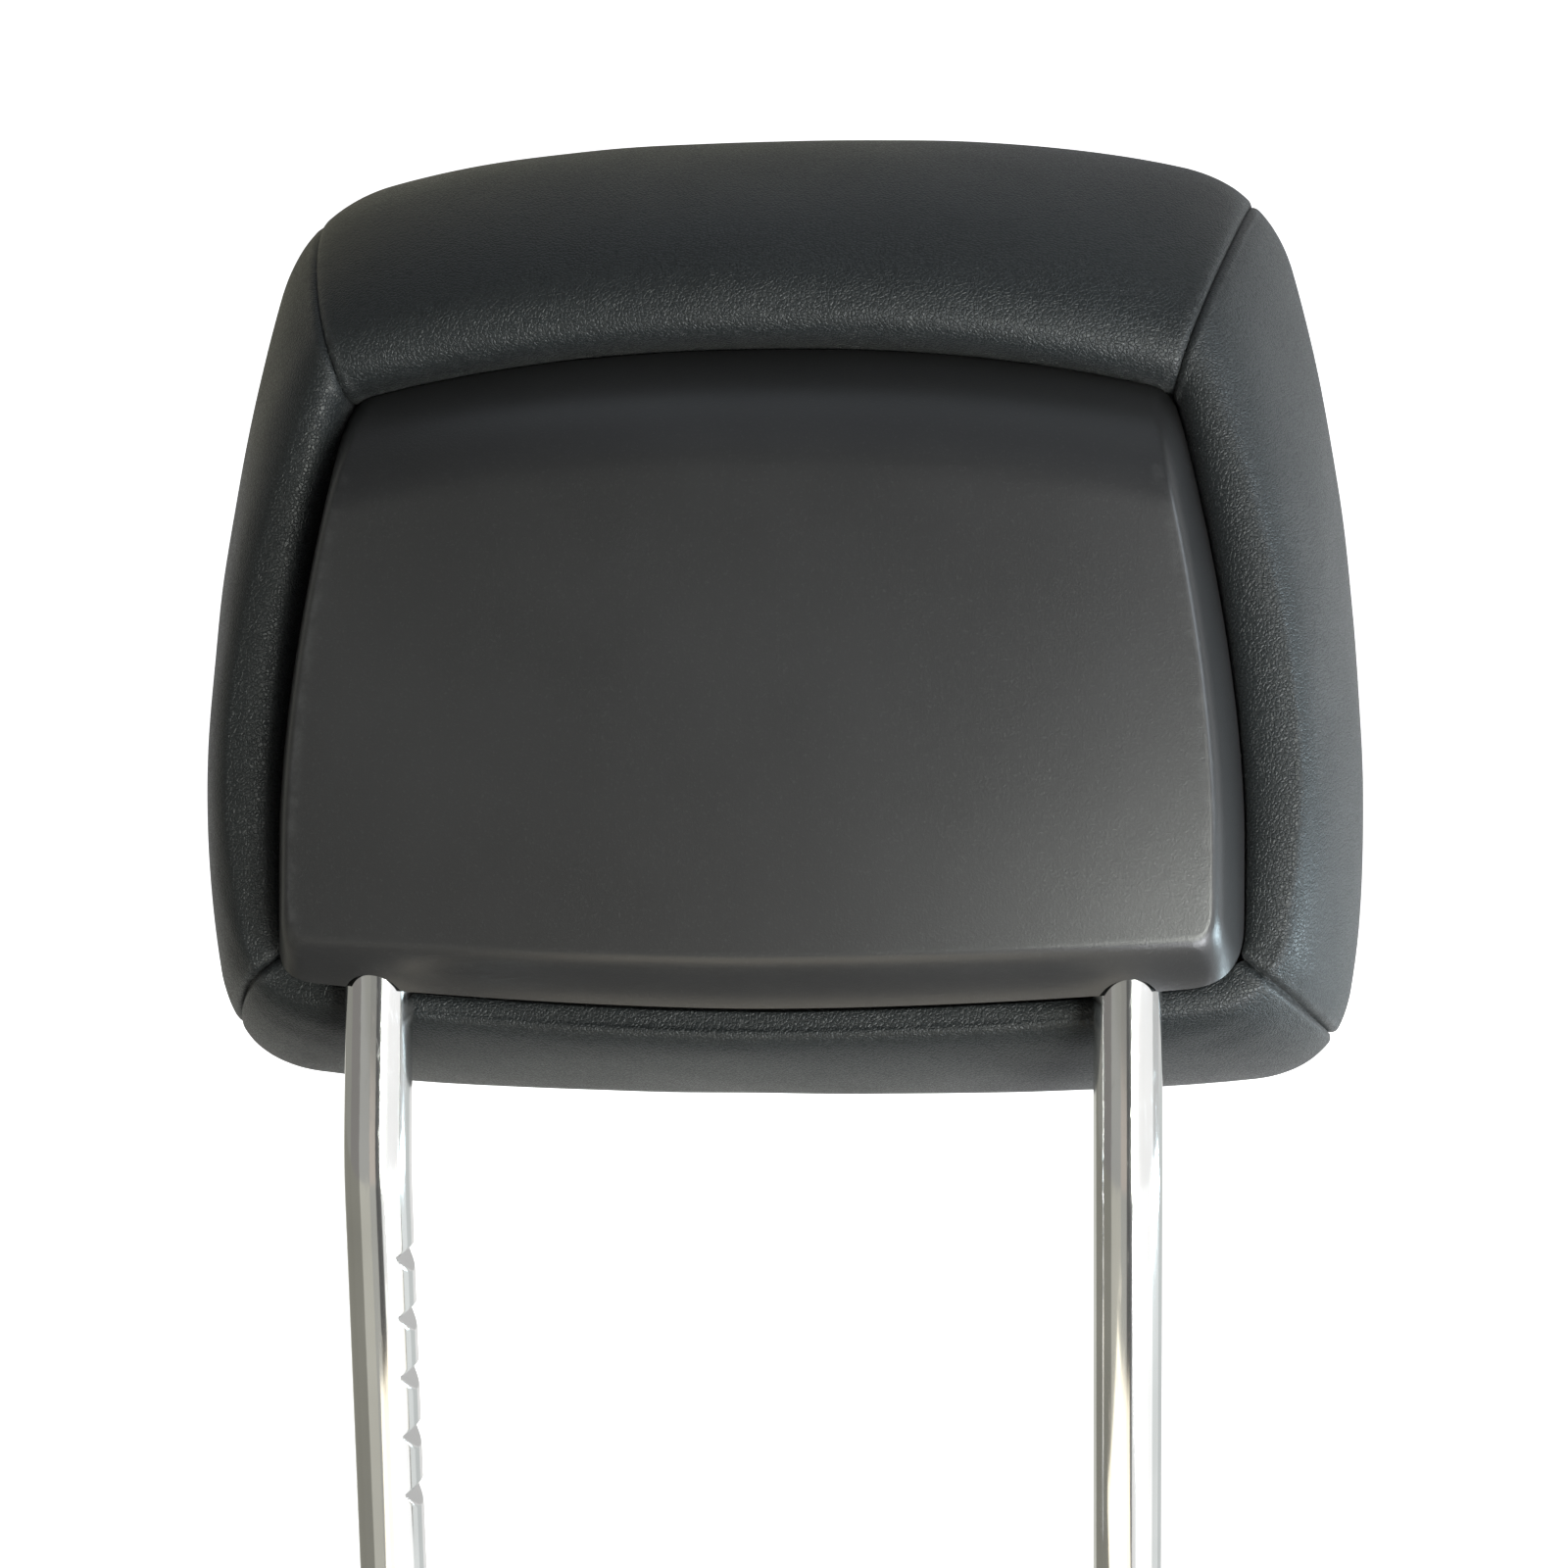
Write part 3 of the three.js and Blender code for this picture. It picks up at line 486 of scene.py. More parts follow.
@dataclass(frozen=True)
class Roll:
    """The padded border's section, swept round between the crease and the widest curve."""

    crease_depth: ByPlace = ByPlace(9.5, 10, 8, 9.5, 9.5)
    crest_out: ByPlace = ByPlace(9, 6, 8.6, 12, 4.5)
    crest_power: ByPlace = ByPlace(2.3, 2.0, 3.3, 2.0, 2.2)
    crest_depth: ByPlace = ByPlace(0, 8.5, -5, 3.5, 8.7)
    fullness: float = 0.3
    tuck_depth: float = 21.0
    widest_depth: float = 70.0
    front_roll: float = 26.0
    front_roll_depth: float = 24.0
    seam_angle: float = 55.0
    tuck_end: float = 0.05
    crest_place: float = 0.27
    widest_place: float = 0.76

    def line(self, side: Side, share: Array) -> tuple[Array, Array, Array]:
        """Where the section at a share starts, which way it runs and how wide it is."""
        inner = CREASE.points(side, share)
        across = WIDEST.points(side, share) - inner
        width = np.linalg.norm(across, axis=-1, keepdims=True)
        return inner, across / width, width

    def front(self, width: Array, angle: Array, inset: float) -> tuple[Array, Array]:
        """Distance out and depth on the front roll, a quarter ellipse by its angle."""
        out = width - inset - (self.front_roll - inset) * (1 - np.cos(angle))
        return out, self.widest_depth + (self.front_roll_depth - inset) * np.sin(angle)

    def surface(self, side: Side, share: Array, place: Array, inset: float) -> Array:
        """The border's surface as a function of two parameters.

        In words: from the tucked edge straight back to the crease, up to the crest by a quarter
        of a superellipse, (1 - (1 - q)^p)^(1/p) of the height at the share q of the way out, a
        cubic Bezier down the flank to the widest line, and the front roll to the seam.

        Args:
            side: which side of the head.
            share: shares from seam to seam, one for each row.
            place: places along the section from 0 at the tuck to 1 at the front seam.
            inset: how far below the leather's surface.

        Returns:
            Points in millimetres, rows by places, as x, w, v.
        """
        inner, direction, width = self.line(side, share)
        column = share[:, None]
        crease = self.crease_depth.along(side, column) + inset
        crest_out = self.crest_out.along(side, column)
        crest_depth = self.crest_depth.along(side, column) + inset
        power = self.crest_power.along(side, column)
        place = place[None, :]
        widest_out = width - inset

        tucked = np.clip(place / self.tuck_end, 0, 1)
        raising = np.clip((place - self.tuck_end) / (self.crest_place - self.tuck_end), 0, 1)
        angle = raising * np.pi / 2
        t = np.clip((place - self.crest_place) / (self.widest_place - self.crest_place), 0, 1)
        rolled = np.clip((place - self.widest_place) / (1 - self.widest_place), 0, 1)
        start, first, second, end = (1 - t) ** 3, 3 * t * (1 - t) ** 2, 3 * t**2 * (1 - t), t**3

        reach, drop = widest_out - crest_out, self.widest_depth - crest_depth
        flank_out = (
            start * crest_out
            + first * (crest_out + self.fullness * reach)
            + (second + end) * widest_out
        )
        flank_depth = (
            (start + first) * crest_depth
            + second * (self.widest_depth - self.fullness * drop)
            + end * self.widest_depth
        )
        roll_out, roll_depth = self.front(width, rolled * math.radians(self.seam_angle), inset)
        across = 1 - np.cos(angle)
        raised = (1 - (1 - across) ** power) ** (1 / power)
        below_crest = place < self.crest_place
        out = np.where(
            below_crest,
            inset + (crest_out - inset) * across,
            np.where(place < self.widest_place, flank_out, roll_out),
        )
        depth = np.where(
            place < self.tuck_end,
            lerp(self.tuck_depth, crease, tucked),
            np.where(
                below_crest,
                lerp(crease, crest_depth, raised),
                np.where(place < self.widest_place, flank_depth, roll_depth),
            ),
        )
        x = inner[:, :1] + direction[:, :1] * out
        v = inner[:, 1:] + direction[:, 1:] * out
        return np.stack([x, depth, v], axis=-1)


ROLL = Roll()


# Shader node groups and finishes


class Graph:
    """Adds nodes to a node tree and links their sockets."""

    def __init__(self, tree: bpy.types.NodeTree) -> None:
        """Keeps the tree.

        Args:
            tree: a material's tree or a group's.
        """
        self.tree = tree

    def node(self, kind: str, **settings: object) -> bpy.types.Node:
        """A new node with some of its properties set."""
        made = self.tree.nodes.new(kind)
        for name, value in settings.items():
            setattr(made, name, value)
        return made

    def feed(self, socket: bpy.types.NodeSocket, value: object) -> None:
        """Sets an input to a value, or links it where the value is an output."""
        if isinstance(value, bpy.types.NodeSocket):
            self.tree.links.new(value, socket)
        else:
            socket.default_value = value

    def feed_all(self, node: bpy.types.Node, **values: object) -> bpy.types.Node:
        """Feeds inputs by their names, where an underscore stands for a space."""
        for name, value in values.items():
            self.feed(node.inputs[name.replace("_", " ")], value)
        return node

    def math(
        self, operation: str, a: object, b: object = 0.0, clamp: bool = False
    ) -> bpy.types.NodeSocket:
        """The output of a Math node."""
        made = self.node("ShaderNodeMath", operation=operation, use_clamp=clamp)
        self.feed(made.inputs[0], a)
        self.feed(made.inputs[1], b)
        return made.outputs[0]

    def spread(
        self, value: object, low: float, high: float, to_low: float = 0.0, to_high: float = 1.0
    ) -> bpy.types.NodeSocket:
        """A value carried smoothly from one range to another."""
        made = self.node("ShaderNodeMapRange", interpolation_type="SMOOTHSTEP")
        ends = {"From_Min": low, "From_Max": high, "To_Min": to_low, "To_Max": to_high}
        return self.feed_all(made, Value=value, **ends).outputs["Result"]

    def blend(self, share: object, a: object, b: object, mode: str = "MIX") -> bpy.types.NodeSocket:
        """A mix of two colours."""
        made = self.node("ShaderNodeMix", data_type="RGBA", blend_type=mode)
        self.feed(made.inputs[0], share)
        self.feed(made.inputs[6], a)
        self.feed(made.inputs[7], b)
        return made.outputs[2]

    def noise(
        self, vector: object, scale: object, detail: float = 2.0, roughness: float = 0.5
    ) -> bpy.types.NodeSocket:
        """The value of a noise texture."""
        made = self.node("ShaderNodeTexNoise")
        self.feed_all(made, Vector=vector, Scale=scale, Detail=detail, Roughness=roughness)
        return made.outputs["Fac"]

    def group(self, tree: bpy.types.NodeTree, **values: object) -> bpy.types.Node:
        """A placed group with its inputs fed."""
        return self.feed_all(self.node("ShaderNodeGroup", node_tree=tree), **values)

    def attribute(self, name: str) -> bpy.types.NodeSocket:
        """A number that the piece's vertices carry."""
        return self.node("ShaderNodeAttribute", attribute_name=name).outputs["Fac"]


@dataclass(frozen=True)
class GroupPlan:
    """A shader node group: its sockets and what fills it."""

    name: str
    inputs: dict[str, tuple[str, object]]
    outputs: dict[str, str]
    fill: Callable[[Graph, bpy.types.Node, bpy.types.Node], None]

    def build(self) -> bpy.types.NodeTree:
        """The group, made once and then found again by its name."""
        if self.name in bpy.data.node_groups:
            return bpy.data.node_groups[self.name]
        tree = bpy.data.node_groups.new(self.name, "ShaderNodeTree")
        for name, (kind, value) in self.inputs.items():
            socket = tree.interface.new_socket(name=name, in_out="INPUT", socket_type=kind)
            if value is not None:
                socket.default_value = value
        for name, kind in self.outputs.items():
            tree.interface.new_socket(name=name, in_out="OUTPUT", socket_type=kind)
        graph = Graph(tree)
        self.fill(graph, graph.node("NodeGroupInput"), graph.node("NodeGroupOutput"))
        return tree


def fill_leather_grain(graph: Graph, given: bpy.types.Node, result: bpy.types.Node) -> None:
    """Pebbles with rounded tops between fine valleys, warped so that no row shows.

    Args:
        graph: the group's tree.
        given: its input node.
        result: its output node.
    """
    vector, size = given.outputs["Vector"], given.outputs["Pebble Size"]
    scale = graph.math("DIVIDE", 1.0, size)
    warp = graph.node("ShaderNodeTexNoise")
    graph.feed_all(warp, Vector=vector, Scale=graph.math("MULTIPLY", scale, 0.6))
    shift = graph.node("ShaderNodeVectorMath", operation="SCALE")
    graph.feed_all(shift, Vector=warp.outputs["Color"], Scale=graph.math("MULTIPLY", size, 0.9))
    warped = graph.node("ShaderNodeVectorMath", operation="ADD")
    graph.feed(warped.inputs[0], vector)
    graph.feed(warped.inputs[1], shift.outputs[0])
    cells = graph.node("ShaderNodeTexVoronoi", feature="DISTANCE_TO_EDGE")
    graph.feed_all(cells, Vector=warped.outputs[0], Scale=scale)
    valley = graph.spread(cells.outputs["Distance"], 0.0, 0.22)
    pores = graph.noise(vector, graph.math("MULTIPLY", scale, 4.0), 2.0, 0.6)
    height = graph.math("ADD", valley, graph.math("MULTIPLY", pores, 0.35))
    graph.feed(result.inputs["Height"], height)
    graph.feed(result.inputs["Valley"], graph.math("SUBTRACT", 1.0, valley))


def fill_fine_relief(graph: Graph, given: bpy.types.Node, result: bpy.types.Node) -> None:
    """Two octaves of fine noise and a slow swell, for moulded surfaces.

    Args:
        graph: the group's tree.
        given: its input node.
        result: its output node.
    """
    vector, scale = given.outputs["Vector"], given.outputs["Scale"]
    fine = graph.noise(vector, scale, 3.0, 0.65)
    broad = graph.noise(vector, graph.math("MULTIPLY", scale, 0.07), 2.0, 0.5)
    swell = graph.math("MULTIPLY", broad, given.outputs["Swell"])
    graph.feed(result.inputs["Height"], graph.math("ADD", fine, swell))
    graph.feed(result.inputs["Speck"], graph.spread(fine, 0.56, 0.7))


def fill_tone_drift(graph: Graph, given: bpy.types.Node, result: bpy.types.Node) -> None:
    """A colour that drifts slowly lighter and darker, as hides and mouldings do.

    Args:
        graph: the group's tree.
        given: its input node.
        result: its output node.
    """
    vector, scale = given.outputs["Vector"], given.outputs["Scale"]
    slow = graph.noise(vector, scale, 3.0, 0.55)
    drift = graph.spread(slow, 0.3, 0.7)
    light = graph.blend(1.0, given.outputs["Color"], given.outputs["Light"], "MULTIPLY")
    graph.feed(result.inputs["Color"], graph.blend(drift, given.outputs["Color"], light))
    graph.feed(result.inputs["Drift"], drift)


def fill_edge_wear(graph: Graph, given: bpy.types.Node, result: bpy.types.Node) -> None:
    """A broken mask where an edge stands proud, from an edge value and noise.

    Args:
        graph: the group's tree.
        given: its input node.
        result: its output node.
    """
    patches = graph.noise(given.outputs["Vector"], given.outputs["Scale"], 4.0, 0.7)
    broken = graph.math("MULTIPLY", given.outputs["Edge"], graph.spread(patches, 0.38, 0.68))
    mask = graph.math("MULTIPLY", broken, given.outputs["Amount"], clamp=True)
    graph.feed(result.inputs["Mask"], mask)


def fill_streaks(graph: Graph, given: bpy.types.Node, result: bpy.types.Node) -> None:
    """Long thin scuffs along Z, as sliding in a guide leaves.

    Args:
        graph: the group's tree.
        given: its input node.
        result: its output node.
    """
    stretch = graph.node("ShaderNodeVectorMath", operation="MULTIPLY")
    graph.feed(stretch.inputs[0], given.outputs["Vector"])
    stretch.inputs[1].default_value = (1.0, 1.0, 0.035)
    lines = graph.noise(stretch.outputs[0], given.outputs["Scale"], 3.0, 0.6)
    graph.feed(result.inputs["Height"], lines)
    graph.feed(result.inputs["Mask"], graph.spread(lines, 0.55, 0.75))


VECTOR = ("NodeSocketVector", None)
FLOAT = "NodeSocketFloat"
COLOUR = "NodeSocketColor"

LEATHER_GRAIN = GroupPlan(
    "leather_grain",
    {"Vector": VECTOR, "Pebble Size": (FLOAT, 0.001)},
    {"Height": FLOAT, "Valley": FLOAT},
    fill_leather_grain,
)
FINE_RELIEF = GroupPlan(
    "fine_relief",
    {"Vector": VECTOR, "Scale": (FLOAT, 1500.0), "Swell": (FLOAT, 1.0)},
    {"Height": FLOAT, "Speck": FLOAT},
    fill_fine_relief,
)
TONE_DRIFT = GroupPlan(
    "tone_drift",
    {
        "Vector": VECTOR,
        "Scale": (FLOAT, 20.0),
        "Color": (COLOUR, (0.5, 0.5, 0.5, 1)),
        "Light": (COLOUR, (1, 1, 1, 1)),
    },
    {"Color": COLOUR, "Drift": FLOAT},
    fill_tone_drift,
)
EDGE_WEAR = GroupPlan(
    "edge_wear",
    {"Vector": VECTOR, "Scale": (FLOAT, 300.0), "Edge": (FLOAT, 0.0), "Amount": (FLOAT, 1.0)},
    {"Mask": FLOAT},
    fill_edge_wear,
)
STREAKS = GroupPlan(
    "streaks",
    {"Vector": VECTOR, "Scale": (FLOAT, 900.0)},
    {"Height": FLOAT, "Mask": FLOAT},
    fill_streaks,
)

Colour = tuple[float, float, float]


@dataclass(frozen=True)
class Finish:
    """What all finishes share: a name, a base colour and a roughness."""

    name: str
    colour: Colour
    roughness: float

    def start(self) -> tuple[bpy.types.Material, Graph, bpy.types.Node, bpy.types.NodeSocket]:
        """A new material, its graph, its Principled node and its Object coordinates."""
        material = bpy.data.materials.new(self.name)
        material.use_nodes = True
        graph = Graph(material.node_tree)
        shader = material.node_tree.nodes["Principled BSDF"]
        place = graph.node("ShaderNodeTexCoord").outputs["Object"]
        return material, graph, shader, place

    def relief(
        self,
        graph: Graph,
        shader: bpy.types.Node,
        height: object,
        distance: float,
        strength: float,
    ) -> None:
        """Feeds a height into the shader's normal through a Bump node."""
        bump = graph.node("ShaderNodeBump")
        graph.feed_all(bump, Distance=distance, Strength=strength, Height=height)
        graph.feed(shader.inputs["Normal"], bump.outputs[0])

    def toned(self, graph: Graph, place: object, scale: float, light: float) -> bpy.types.Node:
        """The base colour with a slow drift toward a lighter tone."""
        colours = {"Color": (*self.colour, 1), "Light": (light, light, light, 1)}
        return graph.group(TONE_DRIFT.build(), Vector=place, Scale=scale, **colours)


@dataclass(frozen=True)
class LeatherFinish(Finish):
    """Fine-grained dyed leather, darker in the valleys and rubbed smoother along seams."""

    pebble: float = 0.00085
    depth: float = 0.00012
    sheen: float = 0.06
    specular: float = 0.36
    wear: float = 0.4
    fold_relief: float = 3.0
    valley_colour: Colour = (0.004, 0.0045, 0.005)
    rubbed_colour: Colour = (0.06, 0.062, 0.062)

    def material(self) -> bpy.types.Material:
        """The leather, which reads the attributes seam and fold of its piece."""
        material, graph, shader, place = self.start()
        grain = graph.group(LEATHER_GRAIN.build(), Vector=place, Pebble_Size=self.pebble)
        tone = self.toned(graph, place, 22.0, 1.35)
        edge = {"Edge": graph.attribute("seam"), "Amount": self.wear}
        wear = graph.group(EDGE_WEAR.build(), Vector=place, Scale=420.0, **edge)
        valley = graph.math("MULTIPLY", grain.outputs["Valley"], 0.35)
        colour = graph.blend(valley, tone.outputs["Color"], (*self.valley_colour, 1))
        rubbed = graph.blend(wear.outputs["Mask"], colour, (*self.rubbed_colour, 1))
        graph.feed(shader.inputs["Base Color"], rubbed)
        dull = graph.math("MULTIPLY", grain.outputs["Valley"], 0.12)
        rough = graph.math("ADD", self.roughness, dull)
        drift = graph.math("MULTIPLY", tone.outputs["Drift"], 0.06)
        polish = graph.math("MULTIPLY", wear.outputs["Mask"], 0.1)
        smooth = graph.math("SUBTRACT", graph.math("SUBTRACT", rough, drift), polish)
        graph.feed(shader.inputs["Roughness"], smooth)
        crumple = graph.noise(place, 260.0, 3.0, 0.6)
        strength = graph.math("MULTIPLY", graph.attribute("fold"), self.fold_relief)
        folds = graph.math("MULTIPLY", crumple, strength)
        height = graph.math("ADD", grain.outputs["Height"], folds)
        self.relief(graph, shader, height, self.depth, 0.8)
        sheen = {"Sheen_Weight": self.sheen, "Sheen_Roughness": 0.4}
        graph.feed_all(shader, Specular_IOR_Level=self.specular, **sheen)
        return material


@dataclass(frozen=True)
class MouldedFinish(Finish):
    """Moulded plastic or foam: fine relief, slow tone drift and polished edges."""

    grain: Grain = Grain.SATIN
    scale: float = 1900.0
    depth: float = 0.00006
    edge_colour: Colour = (0.1, 0.1, 0.1)
    has_edge: bool = False
    wear: float = 0.2

    def material(self) -> bpy.types.Material:
        """The moulded surface; a piece with has_edge carries the attribute edge."""
        material, graph, shader, place = self.start()
        relief = graph.group(FINE_RELIEF.build(), Vector=place, Scale=self.scale, Swell=0.5)
        tone = self.toned(graph, place, 14.0, 1.25)
        speck = graph.math("MULTIPLY", relief.outputs["Speck"], 0.12)
        colour = graph.blend(speck, tone.outputs["Color"], (*self.edge_colour, 1))
        dull = graph.math("MULTIPLY", relief.outputs["Speck"], 0.08)
        rough = graph.math("ADD", self.roughness, dull)
        if self.has_edge:
            edge = {"Edge": graph.attribute("edge"), "Amount": self.wear}
            wear = graph.group(EDGE_WEAR.build(), Vector=place, Scale=260.0, **edge)
            colour = graph.blend(wear.outputs["Mask"], colour, (*self.edge_colour, 1))
            polish = graph.math("MULTIPLY", wear.outputs["Mask"], 0.1)
            rough = graph.math("SUBTRACT", rough, polish)
        graph.feed(shader.inputs["Base Color"], colour)
        graph.feed(shader.inputs["Roughness"], rough)
        height = relief.outputs["Height"]
        if self.grain is Grain.CELLS:
            cells = graph.node("ShaderNodeTexVoronoi")
            graph.feed_all(cells, Vector=place, Scale=self.scale / 2)
            domes = graph.math("MULTIPLY", cells.outputs["Distance"], 1.5)
            height = graph.math("ADD", height, domes)
        self.relief(graph, shader, height, self.depth, 0.7)
        return material


@dataclass(frozen=True)
class PlatedFinish(Finish):
    """Plated steel with scuffs along the bar and slow clouding."""

    scuff: float = 0.12
    cloud: float = 0.9
    depth: float = 0.00001

    def material(self) -> bpy.types.Material:
        """The plating."""
        material, graph, shader, place = self.start()
        streaks = graph.group(STREAKS.build(), Vector=place, Scale=1400.0)
        tone = self.toned(graph, place, 30.0, self.cloud)
        graph.feed(shader.inputs["Base Color"], tone.outputs["Color"])
        scuffs = graph.math("MULTIPLY", streaks.outputs["Mask"], self.scuff)
        clouds = graph.math("MULTIPLY", tone.outputs["Drift"], 0.03)
        rough = graph.math("ADD", graph.math("ADD", self.roughness, scuffs), clouds)
        graph.feed(shader.inputs["Roughness"], rough)
        self.relief(graph, shader, streaks.outputs["Height"], self.depth, 0.5)
        shader.inputs["Metallic"].default_value = 1.0
        return material


# Soft pieces


@dataclass(frozen=True)
class Swelling:
    """How the foam fills out a leather panel that is held along all its seams.

    The back column lies beside the crease, where every panel faces back.
    """

    rows: int = 64
    columns: int = 44
    back_column: int = 5
    frames: int = 16
    scale: float = 20.0
    pressure: float = 2.0
    start_inset: float = 0.15
    cap: float = 0.8
    softness: float = 5.0
    mass: float = 0.1
    quality: int = 6
    tension: float = 12.0
    bending: float = 1.0

    def rise(self, name: str, start: Array) -> Array:
        """Blows the panel up with Blender's cloth and measures how far each point rose.

        Args:
            name: name for the passing object.
            start: points in metres, a grid of rows by columns, its normals pointing out.

        Returns:
            The rise along the normal in millimetres: c tanh(rise / s) for the cap c and softness s.
        """
        mesh = bpy.data.meshes.new(name)
        large = start * self.scale
        quads = band_quads(*start.shape[:2], closed=False)[:, ::-1]
        mesh.from_pydata(large.reshape(-1, 3), [], quads.tolist())
        cloth_piece = bpy.data.objects.new(name, mesh)
        bpy.context.scene.collection.objects.link(cloth_piece)
        pinned = np.zeros(start.shape[:2], bool)
        pinned[[0, -1], :] = True
        pinned[:, [0, 1, -1]] = True
        group = cloth_piece.vertex_groups.new(name="held")
        group.add(np.flatnonzero(pinned).tolist(), 1.0, "REPLACE")
        modifier = cloth_piece.modifiers.new("swell", "CLOTH")
        settings = modifier.settings
        settings.vertex_group_mass = group.name
        settings.mass = self.mass
        settings.quality = self.quality
        settings.tension_stiffness = settings.compression_stiffness = self.tension
        settings.bending_stiffness = self.bending
        settings.use_pressure = True
        settings.uniform_pressure_force = self.pressure
        settings.effector_weights.gravity = 0
        modifier.point_cache.frame_start = 1
        modifier.point_cache.frame_end = self.frames
        scene = bpy.context.scene
        for number in range(1, self.frames + 1):
            scene.frame_set(number)
        evaluated = cloth_piece.evaluated_get(bpy.context.evaluated_depsgraph_get())
        moved = np.empty(len(mesh.vertices) * 3)
        evaluated.data.vertices.foreach_get("co", moved)
        bpy.data.objects.remove(cloth_piece)
        bpy.data.meshes.remove(mesh)
        scene.frame_set(1)
        shift = moved.reshape(start.shape) / self.scale - start
        rise = np.einsum("ijk,ijk->ij", shift, normals_of(start)) / MM
        log.info("%s rose %.2f mm at most", name, float(rise.max()))
        return self.cap * np.tanh(rise / self.softness)


@dataclass(frozen=True)
class LeatherPanels:
    """The four side panels between their mitred seams, and the front panel."""

    finish: LeatherFinish
    swelling: Swelling
    rows: int = 210
    columns: int = 112
    backing: float = 2.4
    high_gap: float = 0.12
    low_gap: float = 0.42
    seam_dip: float = 1.15
    low_seam_dip: float = 2.2
    seam_width: float = 2.0
    stitch_pitch: float = 4.2
    stitch_pull: float = 0.14
    ridge_place: float = 1.9
    ridge_width: float = 0.9
    calm_width: float = 6.0
    calm_tuck: float = 0.05
    row_shift: float = 0.3
    even_until: float = 0.3
    crowding: float = 1.35
    hide_relief: float = 0.28
    fold_place: float = 0.22
    fold_width: float = 0.08

    def places(self) -> Array:
        """Places along a section, even near the crease and closer together at the front seam."""
        even = np.linspace(0, 1, self.columns)
        toward_seam = 1 - (1 - even) ** self.crowding
        later = smooth_step((even - self.even_until) / (1 - self.even_until))
        return lerp(even, toward_seam, later)

    def shoulder(self, distance: Array, dip: Array | float) -> Array:
        """How far the leather turns in beside a seam: a quarter ellipse of the distance to it."""
        near = np.clip(1 - distance / self.seam_width, 0, 1)
        return dip * (1 - np.sqrt(1 - near * near))

    def wrinkles(self, side: Side, run: Array, place: Array) -> tuple[Array, Array]:
        """Shallow unevenness of the hide and small folds where it rolls into the crease.

        Args:
            side: which panel, for its own random lattice.
            run: distance along the panel in millimetres.
            place: place along the section.

        Returns:
            Heights in millimetres and how strongly each point is folded, from 0 to 1.
        """
        seed = 11 + list(Side).index(side)
        slow = lattice_noise(run / 42, place * 5, seed)
        slow += 0.5 * lattice_noise(run / 19, place * 9, seed + 10)
        strength = 1.0 if side is Side.TOP else 0.2
        patches = smooth_step(0.5 + lattice_noise(run / 30, place * 0, seed + 20))
        near_crease = np.exp(-(((place - self.fold_place) / self.fold_width) ** 2))
        folded = strength * near_crease * patches
        small = lattice_noise(run / 3.1, place * 26, seed + 30)
        across = lattice_noise(run / 6.5, place * 3, seed + 40)
        return self.hide_relief * slow + folded * (0.06 * small + 0.1 * across), folded

    def ridge(self, distance: Array) -> Array:
        """1 on the rounded shoulder beside a seam, where the leather is rubbed: exp(-d^2)."""
        return np.exp(-(((distance - self.ridge_place) / self.ridge_width) ** 2))

    def rise(self, side: Side, share: Array, place: Array) -> tuple[Array, float]:
        """How far the foam fills a side panel out beyond its drawn section.

        Args:
            side: which panel.
            share: shares from seam to seam, one for each row.
            place: places along the section.

        Returns:
            Millimetres for each point, and 1 where the grid's normals point out, or else -1.
        """
        swelling = self.swelling
        rows, columns = np.linspace(0, 1, swelling.rows), np.linspace(0, 1, swelling.columns)
        rough = ROLL.surface(side, rows, columns, 0.0)
        normals = normals_of(rough)
        facing = float(np.sign(-np.mean(normals[:, swelling.back_column, 1])))
        start = HEAD.placed(rough - normals * facing * swelling.start_inset)
        order = slice(None, None, int(facing))
        risen = swelling.rise(f"swelling_{side.value}", start[order])[order]
        by_place = np.stack([np.interp(place, columns, row) for row in risen])
        filled = np.stack([np.interp(share, rows, column) for column in by_place.T], axis=1)
        return filled - swelling.start_inset, facing

    def side_points(self, side: Side) -> tuple[Array, Array, dict[str, Array]]:
        """One side panel's outer and inner points and what its material reads.

        Args:
            side: which panel.

        Returns:
            Outer and inner grids in millimetres, and values for each outer point.
        """
        share, place = crowded(self.rows, 2.0), self.places()
        outer = ROLL.surface(side, share, place, 0.0)
        rise, facing = self.rise(side, share, place)
        run, down = running_length(outer, 0), running_length(outer, 1)
        to_seam, to_front = np.minimum(run, run[-1:] - run), down[:, -1:] - down
        stitch = 2 * np.pi / self.stitch_pitch
        pull = 1 + self.stitch_pull * np.cos(stitch * down)
        front_pull = 1 + self.stitch_pull * np.cos(stitch * run)
        lowness = self.lowness(side, share)[:, None]
        depth = lerp(self.seam_dip, self.low_seam_dip, lowness)
        dip = self.shoulder(to_seam, depth) * pull
        dip += self.shoulder(to_front, self.seam_dip) * front_pull
        relief, folded = self.wrinkles(side, run, np.broadcast_to(place, run.shape))
        calm = smooth_step(to_seam / self.calm_width) * smooth_step(to_front / self.calm_width)
        calm = calm * smooth_step((place - ROLL.tuck_end) / self.calm_tuck)
        shift = rise - dip + relief * calm
        outer = outer + normals_of(outer) * facing * shift[..., None]
        inner = ROLL.surface(side, share, place, self.backing)
        seam = self.ridge(np.minimum(to_seam, to_front))
        gaps = lerp(self.high_gap, self.low_gap, lowness[[0, -1], 0])
        return self.shortened(outer, gaps), inner, {"seam": seam, "fold": folded * calm}

    def lowness(self, side: Side, share: Array) -> Array:
        """How near each row is to the head's low seams, from 0 to 1."""
        high, low = np.zeros_like(share), np.ones_like(share)
        return {Side.TOP: high, Side.RIGHT: share, Side.LOW: low, Side.LEFT: 1 - share}[side]

